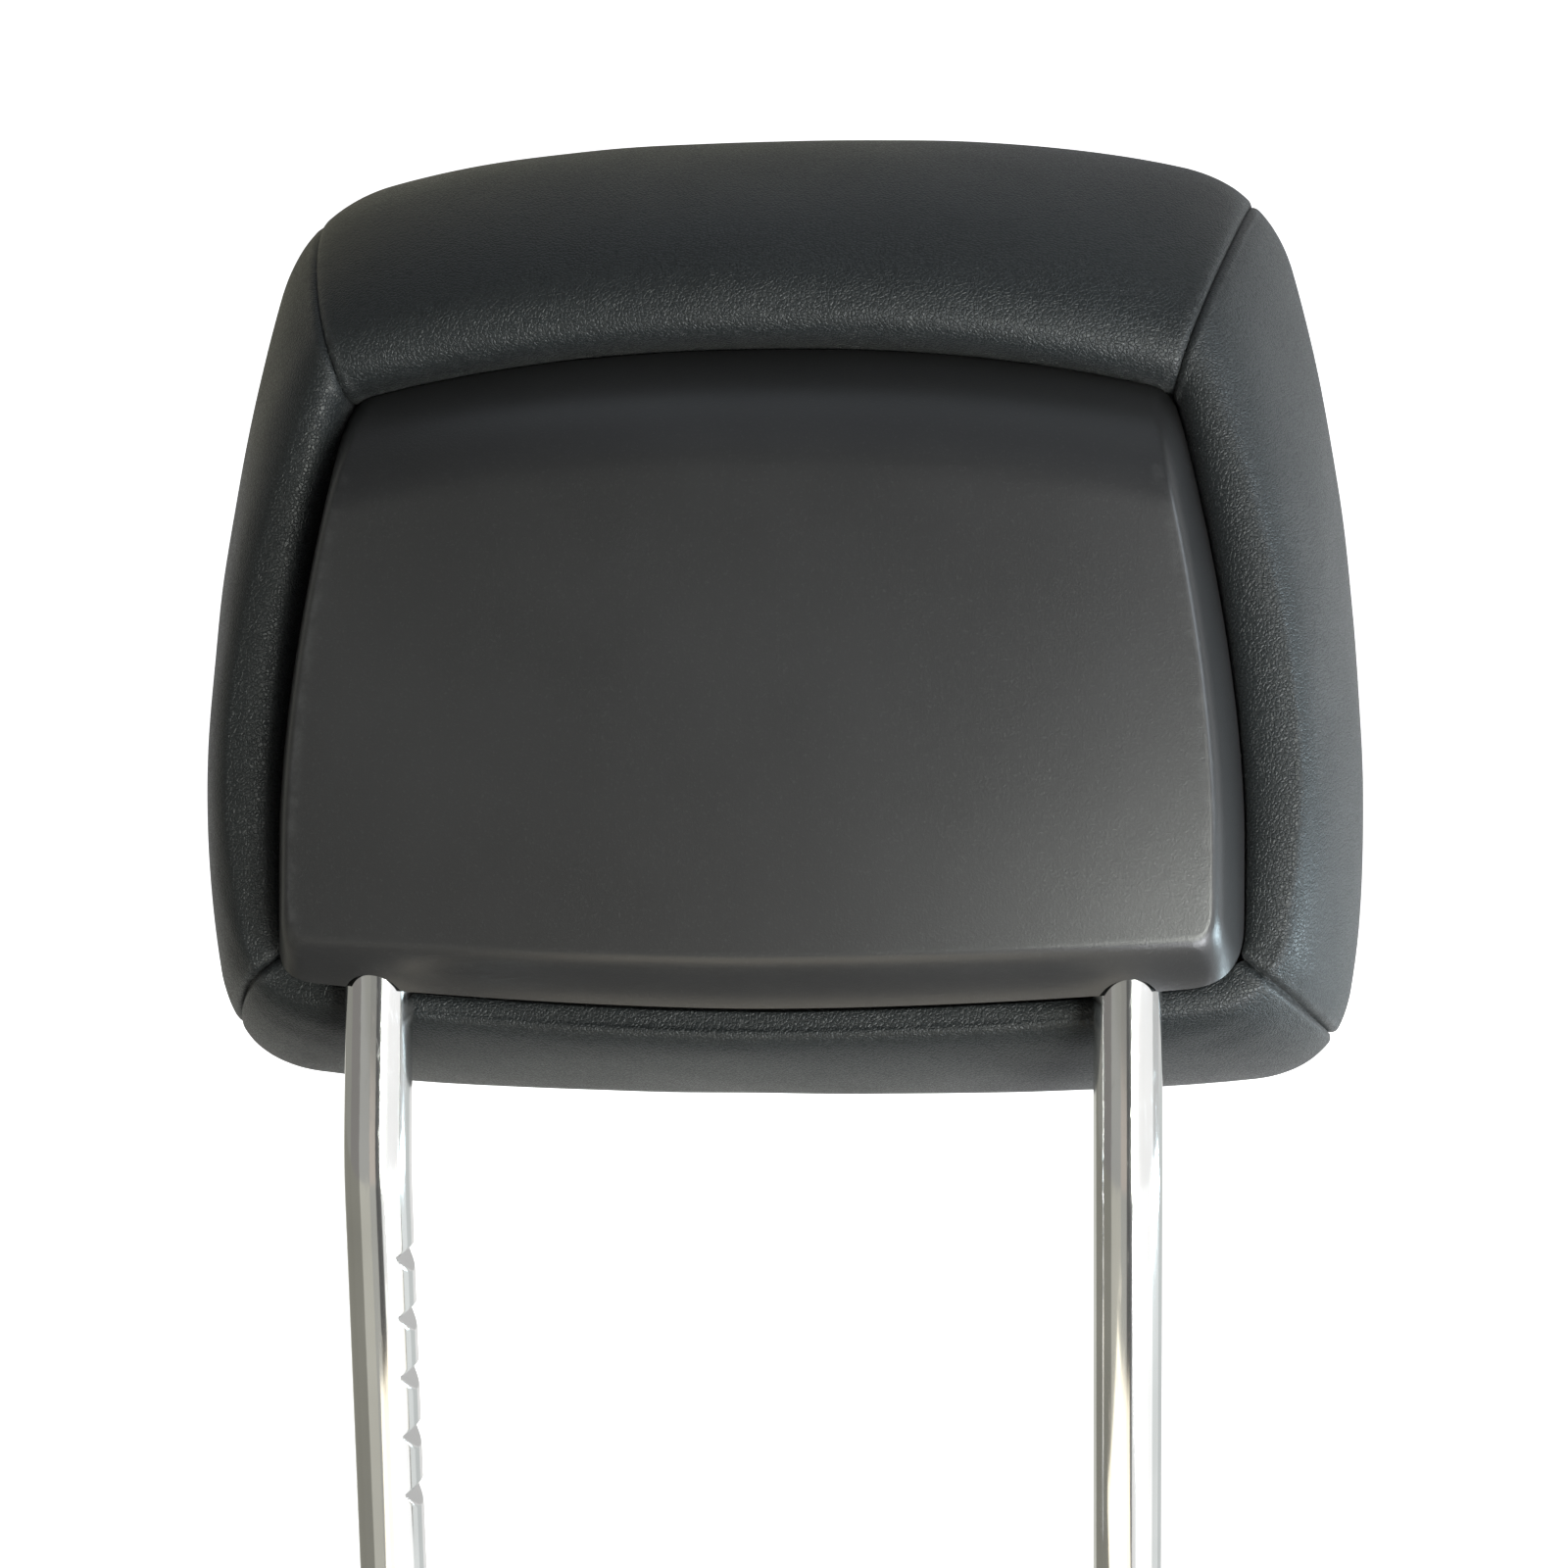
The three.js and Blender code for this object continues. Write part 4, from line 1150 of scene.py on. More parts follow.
    def shortened(self, grid: Array, gaps: Array) -> Array:
        """The grid with its first and last row drawn in by half the gap at their seams."""
        made = grid.copy()
        for end, neighbour, gap in ((0, 1, gaps[0]), (-1, -2, gaps[1])):
            step = grid[neighbour] - grid[end]
            made[end] += step / np.linalg.norm(step, axis=-1, keepdims=True) * gap
            made[neighbour] += step * self.row_shift
        return made

    def side_panel(self, side: Side, material: bpy.types.Material) -> bpy.types.Object:
        """One side panel as a closed sheet of leather and backing."""
        outer, inner, values = self.side_points(side)
        loop = np.concatenate([outer, inner[:, ::-1]], axis=1)
        rows, columns = loop.shape[:2]
        last_end = end_strip(columns, (rows - 1) * columns)[:, ::-1]
        quads = [band_quads(rows, columns, closed=True), end_strip(columns, 0), last_end]
        points = HEAD.placed(loop).reshape(-1, 3)
        piece = closed_piece(f"leather_{side.value}", points, np.concatenate(quads))
        for name, value in values.items():
            paint(piece, name, np.concatenate([value, np.zeros_like(value)], axis=1))
        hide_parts(f"trim_{side.value}")
        settle(piece, material)
        return piece

    def build(self) -> None:
        """All leather panels."""
        material = self.finish.material()
        for side in Side:
            self.side_panel(side, material)
        FrontPanel(self).build(material)


@dataclass(frozen=True)
class FrontPanel:
    """The crowned front panel inside the front seam."""

    sides: LeatherPanels
    crown: float = 5.0
    centre_v: float = 85.0
    seam_gap: float = 0.3
    rings: int = 60
    per_side: int = 90
    roll_share: float = 0.22
    crowding: float = 1.25
    middle: float = 0.985
    dimple: float = 0.03
    calm_width: float = 12.0
    dip_back: float = 0.8
    dip_aside: float = 0.3

    def surface(self, inset: float, spread: Array) -> Array:
        """Rings from the front seam to the middle of the front.

        In words: over the first share of the rings the end of the front roll, from the seam's
        angle to 90 degrees; then the rim drawn toward the centre by k, with a crown of 1 - k^2.

        Args:
            inset: how far below the leather's surface.
            spread: places from 0 at the seam to 1 close to the middle.

        Returns:
            Points in millimetres, rings by stations.
        """
        gap = math.degrees(self.seam_gap / ROLL.front_roll_depth)
        rings = []
        even = np.linspace(0, 1, self.per_side, endpoint=False)
        for side in Side:
            inner, direction, width = ROLL.line(side, even)
            turned = np.clip(spread / self.roll_share, 0, 1)[:, None]
            angle = np.radians(lerp(ROLL.seam_angle + gap, 90, turned))
            out, depth = ROLL.front(width[:, 0][None, :], angle, inset)
            k = 1 - np.clip((spread - self.roll_share) / (1 - self.roll_share), 0, 1)[:, None]
            x = (inner[:, 0] + direction[:, 0] * out) * k
            v = self.centre_v + (inner[:, 1] + direction[:, 1] * out - self.centre_v) * k
            x, w, v = np.broadcast_arrays(x, depth + self.crown * (1 - k * k), v)
            rings.append(np.stack([x, w, v], axis=-1))
        return np.concatenate(rings, axis=1)

    def build(self, material: bpy.types.Material) -> bpy.types.Object:
        """The front panel as a closed sheet."""
        spread = (1 - (1 - np.linspace(0, 1, self.rings)) ** self.crowding) * self.middle
        outer = self.surface(0.0, spread)
        run = running_length(outer, 0)
        dip = self.sides.shoulder(run, self.sides.seam_dip)
        x, v = outer[..., 0], outer[..., 2]
        hide = 0.35 * lattice_noise(x / 45, v / 45, 71) + 0.15 * lattice_noise(x / 20, v / 20, 72)
        outer[..., 1] += hide * smooth_step(run / self.calm_width) - dip * self.dip_back
        outer[..., 0] -= np.sign(x) * dip * self.dip_aside
        inner = self.surface(self.sides.backing, spread)
        grid = np.concatenate([outer[::-1], inner])
        tops = (outer[-1, :, 1].max() + self.dimple, inner[-1, :, 1].max())
        poles = np.array([[0, top, self.centre_v] for top in tops])
        piece = capped_rings("leather_front", HEAD.placed(grid), HEAD.placed(poles))
        seam = self.sides.ridge(run)
        paint(piece, "seam", np.concatenate([seam[::-1].ravel(), np.zeros(seam.size + 2)]))
        paint(piece, "fold", np.zeros(len(piece.data.vertices)))
        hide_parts("trim_front")
        settle(piece, material)
        return piece


@dataclass(frozen=True)
class FoamPad:
    """The moulded foam inside the leather, with its recess for the carrier."""

    finish: MouldedFinish
    inset: float = 2.9
    recess_depth: float = 30.0
    per_side: int = 60
    columns: int = 70
    front_rings: int = 24
    middle: float = 0.98

    def build(self) -> bpy.types.Object:
        """The pad as a closed body of rings round the head."""
        share = np.linspace(0, 1, self.per_side, endpoint=False)
        place = np.linspace(0, 1, self.columns)
        border = np.concatenate([ROLL.surface(side, share, place, self.inset) for side in Side])
        rings = np.swapaxes(border, 0, 1)
        floor = rings[:1].copy()
        floor[..., 1] = self.recess_depth
        panel = FrontPanel(LEATHER, per_side=self.per_side)
        front = panel.surface(self.inset, np.linspace(0, self.middle, self.front_rings))
        grid = np.concatenate([floor, rings[1:], front[1:]])
        depths = (self.recess_depth, front[-1, :, 1].max())
        poles = np.array([[0, depth, panel.centre_v] for depth in depths])
        piece = capped_rings("foam_body", HEAD.placed(grid), HEAD.placed(poles))
        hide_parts("foam_pad")
        settle(piece, self.finish.material())
        return piece


# Hard pieces


@dataclass(frozen=True)
class RearCover:
    """The moulded cover: a crowned face with drafted sides, a lip below and an arch at each leg."""

    finish: MouldedFinish
    face_depth: float = -16.5
    side_crown: float = 3.5
    height_crown: float = 2.0
    half_width: float = 93.0
    half_height: float = 60.0
    centre_v: float = 85.0
    pole_v: float = 95.0
    wall_start: float = 9.0
    wall_steepness: float = 3.3
    lip_start: float = -4.0
    lip_steepness: float = 1.25
    lip_height: float = 9.7
    lip_hollow: float = 0.55
    plunge_reach: float = 29.0
    edge_softness: float = 5.0
    corner_softness: float = 15.0
    corner_fade: float = 2.5
    skirt_depth: float = 20.5
    lip_overlap: float = 2.0
    wall: float = 2.5
    gap: float = 0.4
    hole_radius: float = 7.8
    hole_start: float = 8.0
    hole_end: float = 57.0
    hole_sides: int = 96
    flare: float = 2.0
    flare_width: float = 7.5
    flare_height: float = 5.0
    per_side: int = 120
    blade_size: tuple[float, float] = (12.0, 2.0)
    blade_tip: float = 28.0
    blade_x: float = 55.5
    blade_heights: tuple[float, float] = (60.0, 146.0)
    wall_insets: tuple[float, float, int] = (0.4, 16.0, 46)
    face_insets: tuple[float, float, int] = (16.8, 62.0, 22)
    last_inset: float = 72.0
    inner_start: int = 6
    inner_step: int = 3
    straight_until: float = 18.0
    middle: float = 0.985
    slope_step: float = 0.05
    crease_angle: float = 38.0
    rub_inset: float = 8.6
    rub_width: float = 1.3
    rub_depth: float = 4.0

    def depth(self, x: Array, v: Array) -> Array:
        """Depth of the outer surface.

        In words: a face with a quadratic crown each way, which curves down to the crease at the
        top by the square of the way from the plunge's start, softly joined to a side wall, which
        is a straight slope, and a lip, a slope that grows steeper with the distance d from the
        low edge: steepness d (1 - hollow + hollow d / height). Round each leg the lip swells by
        flare exp(-(a / width)^2 - (d / height)^2), where a is the distance from the leg's plane.
        """
        face = (
            self.face_depth
            + self.side_crown * (x / self.half_width) ** 2
            + self.height_crown * ((v - self.centre_v) / self.half_height) ** 2
        )
        plunge = np.clip(1 - (CREASE.top_v(x) - v) / self.plunge_reach, 0, 1) ** 2
        corner = np.clip(np.abs(x) / CREASE.top_corner[0], 0, 1) ** 4
        face = lerp(face, lerp(ROLL.crease_depth.top, self.wall_start, corner), plunge)
        wall = self.wall_start - self.wall_steepness * (CREASE.side_x(v) - np.abs(x))
        above = np.maximum(v - CREASE.low_v(x), 0)
        hollow = 1 - self.lip_hollow + self.lip_hollow * above / self.lip_height
        aside = (np.abs(x) - LEG_X) / self.flare_width
        swell = self.flare * np.exp(-(aside**2) - (above / self.flare_height) ** 2)
        lip = self.lip_start - self.lip_steepness * above * hollow - swell
        softness = self.edge_softness * (1 + self.corner_fade * plunge)
        rear = soft_max(face, soft_max(wall, lip, self.corner_softness), softness)
        return np.minimum(rear, self.skirt_depth - self.lip_overlap)

    def rims(self) -> Array:
        """Points of the crease outline all the way round."""
        even = np.linspace(0, 1, self.per_side, endpoint=False)
        toward_ends = (1 - np.cos(np.pi * even)) / 2
        return np.concatenate([CREASE.points(side, lerp(even, toward_ends, 0.5)) for side in Side])

    def inward(self, rims: Array, inset: Array) -> Array:
        """Points moved from the outline toward the middle of the face by an inset."""
        toward = np.array([0, self.pole_v]) - rims
        length = np.linalg.norm(toward, axis=-1, keepdims=True)
        return rims + toward / length * inset

    def rings(self) -> tuple[Array, Array]:
        """Places of the outer surface's rings.

        In words: near the outline each ring lies at an even inset from it; further in, the
        outline is drawn toward the pole, by the inset's part of the way at first and evenly all
        round at the end.

        Returns:
            x and v of each ring's points.
        """
        rims, pole = self.rims(), np.array([0, self.pole_v])
        insets = np.concatenate(
            [np.linspace(*self.wall_insets), np.geomspace(*self.face_insets), [self.last_inset]]
        )
        beside = np.stack([self.inward(rims, inset) for inset in insets])
        furthest = np.linalg.norm(rims - pole, axis=-1)
        late = smooth_step((insets[:, None] / self.last_inset - 0.25) / 0.75)
        drawn = 1 - lerp(insets[:, None] / furthest, self.middle, late)
        toward = pole + (rims - pole) * drawn[..., None]
        places = np.where((insets > self.straight_until)[:, None, None], toward, beside)
        return places[..., 0], places[..., 1]

    def normals(self, x: Array, v: Array) -> Array:
        """Unit normals of the outer surface, pointing out, from small steps of its depth."""
        step = self.slope_step
        slope_x = (self.depth(x + step, v) - self.depth(x - step, v)) / (2 * step)
        slope_v = (self.depth(x, v + step) - self.depth(x, v - step)) / (2 * step)
        normal = np.stack([slope_x, -np.ones_like(x), slope_v], axis=-1)
        return normal / np.linalg.norm(normal, axis=-1, keepdims=True)

    def shell(self) -> bpy.types.Object:
        """The cover's wall: outer rings, the skirt and inner rings, closed at a pole each."""
        x, v = self.rings()
        outer = np.stack([x, self.depth(x, v), v], axis=-1)
        inner = outer - self.normals(x, v) * self.wall
        rims = self.rims()
        edges = np.stack([self.inward(rims, inset) for inset in (self.gap, self.gap + self.wall)])
        low = np.full(edges.shape[:2], self.skirt_depth)
        skirt = np.stack([edges[..., 0], low, edges[..., 1]], axis=-1)
        grid = np.concatenate([outer[::-1], skirt, inner[self.inner_start :: self.inner_step]])
        middle = float(self.depth(np.zeros(1), np.full(1, self.pole_v))[0])
        poles = np.array([[0, w, self.pole_v] for w in (middle, middle + self.wall)])
        return capped_rings("cover_shell", HEAD.placed(grid), HEAD.placed(poles))

    def block(self, low: Place, high: Place) -> bpy.types.Object:
        """A box between two corners of the head frame, for joining."""
        x, w, v = np.meshgrid(*zip(low, high), indexing="ij")
        points = HEAD.to_row(x, w, v).reshape(-1, 3)
        quads = np.array(
            [[0, 1, 3, 2], [4, 6, 7, 5], [0, 4, 5, 1], [2, 3, 7, 6], [0, 2, 6, 4], [1, 5, 7, 3]]
        )
        return closed_piece("block", points, quads)

    def rod(self, x: float, radius: float, low: float, high: float) -> bpy.types.Object:
        """A closed round rod along v, for cutting."""
        angle = np.linspace(0, 2 * np.pi, self.hole_sides, endpoint=False)
        heights = np.array([low, high])
        across, deep = x + radius * np.cos(angle), radius * np.sin(angle)
        poles = HEAD.to_row(np.full(2, x), np.zeros(2), heights)
        return capped_rings("rod", HEAD.to_row(across, deep, heights[:, None]), poles)

    def blades(self) -> list[bpy.types.Object]:
        """The four blades that the clips hold, from inside the cover's wall forward."""
        width, thickness = self.blade_size
        made = []
        for v in self.blade_heights:
            for x in (-self.blade_x, self.blade_x):
                base = float(self.depth(np.array([x]), np.array([v]))[0]) + self.wall / 2
                low = (x - width / 2, base, v - thickness / 2)
                made.append(self.block(low, (x + width / 2, self.blade_tip, v + thickness / 2)))
        return made

    def build(self) -> bpy.types.Object:
        """The cover with its blades and leg holes."""
        piece = self.shell()
        for blade in self.blades():
            combined(piece, blade, "UNION")
        for x in (-LEG_X, LEG_X):
            hole = self.rod(x, self.hole_radius, self.hole_start, self.hole_end)
            combined(piece, hole, "DIFFERENCE")
        piece.data.polygons.foreach_set("use_smooth", np.ones(len(piece.data.polygons), bool))
        piece.data.set_sharp_from_angle(angle=math.radians(self.crease_angle))
        self.mark_edges(piece)
        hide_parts("rear_cover")
        settle(piece, self.finish.material())
        return piece

    def mark_edges(self, piece: bpy.types.Object) -> None:
        """Marks the face's rounded edge, where hands and bags rub, for the finish."""
        flat = np.empty(len(piece.data.vertices) * 3)
        piece.data.vertices.foreach_get("co", flat)
        x, w, v = HEAD.from_row(flat.reshape(-1, 3))
        face = self.face_depth + self.side_crown * (x / self.half_width) ** 2
        inset = CREASE.side_x(v) - np.abs(x)
        rubbed = np.exp(-(((inset - self.rub_inset) / self.rub_width) ** 2))
        paint(piece, "edge", rubbed * (w < face + self.rub_depth))


@dataclass(frozen=True)
class Post:
    """The bent round bar with two legs and the height notches on the left leg's inner side."""

    finish: PlatedFinish
    radius: float = POST_RADIUS
    lower_length: float = 140.0
    bend_radius: float = 80.0
    bar_height: float = 124.0
    bar_bend_radius: float = 32.0
    end_flat: float = 4.0
    end_length: float = 3.0
    notches: int = 5
    first_drop: float = 18.7
    pitch: float = 12.9
    notch_depth: float = 2.6
    upper_flank: float = 1.6
    lower_flank: float = 4.0
    easing: float = 0.25
    sides: int = 72
    end_stations: int = 12
    bend_stations: int = 20
    bar_stations: int = 40
    notched_from: float = 20.0
    notched_margin: float = 8.0
    notched_step: float = 0.28
    plain_step: float = 2.0
    crease_angle: float = 24.0

    def half_path(self, side: int, step: float) -> tuple[Array, Array, Array, Array]:
        """One leg's centre line from its end to the middle of the bar.

        In words: straight up, an arc of the lean, straight up the leaning plane, and a quarter
        circle in that plane into the crossbar.

        Args:
            side: -1 for the left leg, 1 for the right.
            step: spacing of the stations along the notched stretch, in millimetres.

        Returns:
            Points in row millimetres, tangents, the lean at each station and the bar's radius.
        """
        lean = math.radians(HEAD.lean)
        bend_start = self.lower_length - self.bend_radius * math.tan(lean / 2)
        x = side * LEG_X
        end = np.linspace(0, np.pi / 2, self.end_stations)
        end_z = self.end_length * (1 - np.cos(end))
        end_radius = lerp(self.end_flat, self.radius, np.sin(end))
        straight = np.arange(self.end_length + step, bend_start - 0.2, step)
        z = np.concatenate([end_z, straight])
        radius = np.concatenate([end_radius, np.full(len(straight), self.radius)])
        low = np.stack([np.full(len(z), x), np.zeros(len(z)), z], axis=-1)
        low_tangent = np.tile([0.0, 0.0, 1.0], (len(z), 1))

        turn = np.linspace(0, lean, self.bend_stations)
        arc_y = self.bend_radius * (1 - np.cos(turn))
        arc_z = bend_start + self.bend_radius * np.sin(turn)
        arc = np.stack([np.full_like(turn, x), arc_y, arc_z], axis=-1)
        arc_tangent = np.stack([np.zeros_like(turn), np.sin(turn), np.cos(turn)], axis=-1)

        quarter = np.linspace(0, np.pi / 2, self.bar_stations)
        across = side * (LEG_X - self.bar_bend_radius * (1 - np.cos(quarter)))
        up = self.bar_height - self.bar_bend_radius * (1 - np.sin(quarter))
        upward = np.array([0.0, math.sin(lean), math.cos(lean)])
        high = up[:, None] * upward
        high[:, 0], high[:, 2] = across, high[:, 2] + self.lower_length
        high_tangent = np.cos(quarter)[:, None] * upward
        high_tangent[:, 0] = -side * np.sin(quarter)
        return (
            np.concatenate([low, arc, high]),
            np.concatenate([low_tangent, arc_tangent, high_tangent]),
            np.concatenate([np.zeros(len(z)), turn, np.full(self.bar_stations, lean)]),
            np.concatenate([radius, np.full(len(turn) + self.bar_stations, self.radius)]),
        )

    def notched(self, x: Array, z: Array) -> Array:
        """x held back to the notches' profile.

        In words: at each notch the inner side may reach no further than a V of the given depth,
        with a short upper and a long lower flank; its corners are eased by a quarter millimetre.
        """
        drops = self.first_drop + self.pitch * np.arange(self.notches)
        below = (self.lower_length - drops)[None, None, :] - z[..., None]
        share = np.where(below > 0, below / self.lower_flank, -below / self.upper_flank)
        reach = (self.radius - self.notch_depth * (1 - share)).min(axis=-1)
        limit = reach - LEG_X
        return -soft_max(-x, -limit, self.easing)

    def build(self) -> bpy.types.Object:
        """The bar: circles along the path, notched, with rounded ends."""
        left, left_tangent, left_lean, left_radius = self.half_path(-1, self.notched_step)
        right, right_tangent, right_lean, right_radius = self.half_path(1, self.plain_step)
        centre = np.concatenate([left, right[::-1]])
        tangent = np.concatenate([left_tangent, -right_tangent[::-1]])
        lean = np.concatenate([left_lean, right_lean[::-1]])
        radius = np.concatenate([left_radius, right_radius[::-1]])
        forward = np.stack([np.zeros(len(lean)), np.cos(lean), -np.sin(lean)], axis=-1)
        sideways = np.cross(tangent, forward)
        angle = np.linspace(0, 2 * np.pi, self.sides, endpoint=False)[None, :, None]
        rings = centre[:, None] + radius[:, None, None] * (
            sideways[:, None] * np.cos(angle) + forward[:, None] * np.sin(angle)
        )
        x, z = rings[..., 0], rings[..., 2]
        low = (x < 0) & (z > self.notched_from) & (z < self.lower_length - self.notched_margin)
        rings[..., 0] = np.where(low, self.notched(x, z), x)
        poles = np.array([[-LEG_X, 0, 0], [LEG_X, 0, 0]])
        piece = capped_rings("post_bar", rings * MM, poles * MM)
        piece.data.set_sharp_from_angle(angle=math.radians(self.crease_angle))
        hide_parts("post_stay")
        settle(piece, self.finish.material())
        return piece


@dataclass(frozen=True)
class InnerParts:
    """The CAD nodes inside the head, which keep their shapes and get their finishes."""

    carrier: MouldedFinish
    strips: MouldedFinish
    steel: PlatedFinish

    def build(self) -> None:
        """Dresses the carrier, the tuck strips, the clamps, the screws and the clips."""
        carrier, strips, steel = (f.material() for f in (self.carrier, self.strips, self.steel))
        for name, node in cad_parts.items():
            if node.hide_render:
                continue
            if name == "carrier":
                material, slot = carrier, "carrier_plastic"
            elif name.startswith("tuck_strip"):
                material, slot = strips, "strip_plastic"
            else:
                material, slot = steel, "zinc_steel"
            node.data.materials.clear()
            node.data.materials.append(material)
            log.info("%s: dressed", name)


# Camera, floor and light


@dataclass(frozen=True)
class Viewpoint:
    """The camera, given in the head's frame in degrees and millimetres; furthest is in metres."""

    distance: float = 600.0
    focal_pixels: float = 2966.4
    frame_pixels: int = 1600
    azimuth: float = 5.8
    elevation: float = -3.0
    roll: float = 0.26
    target: Place = (7.1, 0.0, 79.0)
    sensor: float = 36.0
    furthest: float = 50.0

    def build(self) -> bpy.types.Object:
        """Makes the scene's camera."""
        azimuth, elevation = math.radians(self.azimuth), math.radians(self.elevation)
        roll = math.radians(self.roll)
        level = math.cos(elevation)
        forward = np.array(
            [-math.sin(azimuth) * level, math.cos(azimuth) * level, -math.sin(elevation)]
        )
        right = np.array([math.cos(azimuth), math.sin(azimuth), 0.0])
        up = np.cross(right, forward)
        turned_right = math.cos(roll) * right + math.sin(roll) * up
        turned_up = math.cos(roll) * up - math.sin(roll) * right
        place = HEAD.to_row(*(np.array(self.target) - forward * self.distance))
        origin = HEAD.to_row(*np.zeros(3))
        axes = [(HEAD.to_row(*axis) - origin) / MM for axis in (turned_right, turned_up, -forward)]
        matrix = Matrix.Identity(4)
        for column, axis in enumerate([*axes, place]):
            for row in range(3):
                matrix[row][column] = axis[row]
        data = bpy.data.cameras.new("camera")
        data.sensor_width = self.sensor
        data.lens = self.focal_pixels / self.frame_pixels * self.sensor
        data.clip_end = self.furthest
        camera = bpy.data.objects.new("camera", data)
        camera.matrix_world = matrix
        bpy.context.scene.collection.objects.link(camera)
        bpy.context.scene.camera = camera
        return camera


@dataclass(frozen=True)
class Panel:
    """A soft light seen under an azimuth from the head, upright, overhead or lying on the floor."""

    name: str
    azimuth: float
    distance: float
    bottom: float
    top: float
    width: float
    radiance: Colour
    overhead_from: float = 1.0

    def build(self) -> bpy.types.Object:
        """Makes the light; azimuth 0 stands behind the head and 90 to its right.

        It runs from the floor point at its distance, width to either side, between two heights;
        where both are the same it lies flat, as deep as it is wide, and shines up, or down where
        it is overhead.
        """
        azimuth = math.radians(self.azimuth)
        outward = Vector((math.sin(azimuth), -math.cos(azimuth), 0.0))
        flat = self.top == self.bottom
        size = (self.width, self.width if flat else self.top - self.bottom)
        strongest = max(self.radiance)
        data = bpy.data.lights.new(self.name, "AREA")
        data.shape = "RECTANGLE"
        data.size, data.size_y = size
        data.energy = math.pi * size[0] * size[1] * strongest
        data.color = [channel / strongest for channel in self.radiance]
        light = bpy.data.objects.new(self.name, data)
        light.location = outward * self.distance + Vector((0, 0, (self.bottom + self.top) / 2))
        behind = Vector((0, 0, 1 if self.top > self.overhead_from else -1)) if flat else outward
        light.rotation_mode = "QUATERNION"
        light.rotation_quaternion = behind.to_track_quat("Z", "Y")
        light.visible_camera = False
        bpy.context.scene.collection.objects.link(light)
        return light


@dataclass(frozen=True)
class Sector:
    """What stands round the head between two azimuths: its radiance by height.

    The deep panel stands below the floor, which reflections don't see, so that the plated legs
    show the same bands all the way down.
    """

    start: float
    end: float
    deep: Colour
    low: Colour
    high: Colour
    distance: float = 0.9
    heights: tuple[float, float, float, float] = (-0.7, 0.0, 0.3, 0.9)

    def panels(self) -> list[Panel]:
        """Three panels, one above the other, that meet those of the neighbouring sectors."""
        middle = (self.start + self.end) / 2
        width = 2 * self.distance * math.tan(math.radians(self.end - self.start) / 2)
        bands = {"deep": self.deep, "low": self.low, "high": self.high}
        return [
            Panel(f"{part}_{middle:.0f}", middle, self.distance, bottom, top, width, radiance)
            for (part, radiance), bottom, top in zip(bands.items(), self.heights, self.heights[1:])
        ]


@dataclass(frozen=True)
class Studio:
    """The pale sweep that the post stands on, the lights and the surrounding air."""

    half_width: float = 4.0
    front: float = -3.0
    back: float = 2.6
    height: float = 3.6
    bend: float = 1.1
    bend_stations: int = 24
    sunk: float = 0.0004
    roughness: float = 0.8
    tone: Colour = (0.9, 0.9, 0.9)
    glow: float = 1.1
    air: Colour = (0.1, 0.1, 0.1)
    sectors: tuple[Sector, ...] = ()
    panels: tuple[Panel, ...] = ()

    def sweep(self) -> bpy.types.Object:
        """Floor and backdrop in one: a line back, round a bend and up, drawn out sideways."""
        angle = np.linspace(0, np.pi / 2, self.bend_stations)
        bend_y = self.back - self.bend + self.bend * np.sin(angle)
        y = np.concatenate([[self.front], bend_y, [self.back]])[:, None]
        z = np.concatenate([[0.0], self.bend * (1 - np.cos(angle)), [self.height]])[:, None]
        x = np.array([[-self.half_width, self.half_width]])
        points = np.stack(np.broadcast_arrays(x, y, z - self.sunk), axis=-1).reshape(-1, 3)
        mesh = bpy.data.meshes.new("sweep")
        mesh.from_pydata(points, [], band_quads(len(y), 2, closed=False)[:, ::-1].tolist())
        mesh.polygons.foreach_set("use_smooth", np.ones(len(mesh.polygons), bool))
        sweep = bpy.data.objects.new("sweep", mesh)
        bpy.context.scene.collection.objects.link(sweep)
        material = bpy.data.materials.new("sweep_paper")
        material.use_nodes = True
        shader = material.node_tree.nodes["Principled BSDF"]
        graph = Graph(material.node_tree)
        graph.feed_all(shader, Base_Color=(*self.tone, 1), Roughness=self.roughness)
        seen = graph.node("ShaderNodeLightPath").outputs["Is Camera Ray"]
        glow = graph.math("MULTIPLY", seen, self.glow)
        graph.feed_all(shader, Emission_Color=(1, 1, 1, 1), Emission_Strength=glow)
        mesh.materials.append(material)
        sweep.visible_glossy = False
        return sweep

    def surroundings(self) -> None:
        """A dim room for reflections, white where the camera looks past the sweep."""
        world = bpy.data.worlds.new("room")
        world.use_nodes = True
        graph = Graph(world.node_tree)
        background = world.node_tree.nodes["Background"]
        seen = graph.node("ShaderNodeLightPath").outputs["Is Camera Ray"]
        graph.feed(background.inputs["Color"], graph.blend(seen, (*self.air, 1), (1, 1, 1, 1)))
        bpy.context.scene.world = world

    def build(self) -> None:
        """Floor, air and lights."""
        self.sweep()
        self.surroundings()
        around = [panel for sector in self.sectors for panel in sector.panels()]
        for panel in [*around, *self.panels]:
            panel.build()
        bpy.context.scene.view_settings.view_transform = "Standard"
        bpy.context.scene.view_settings.look = "None"


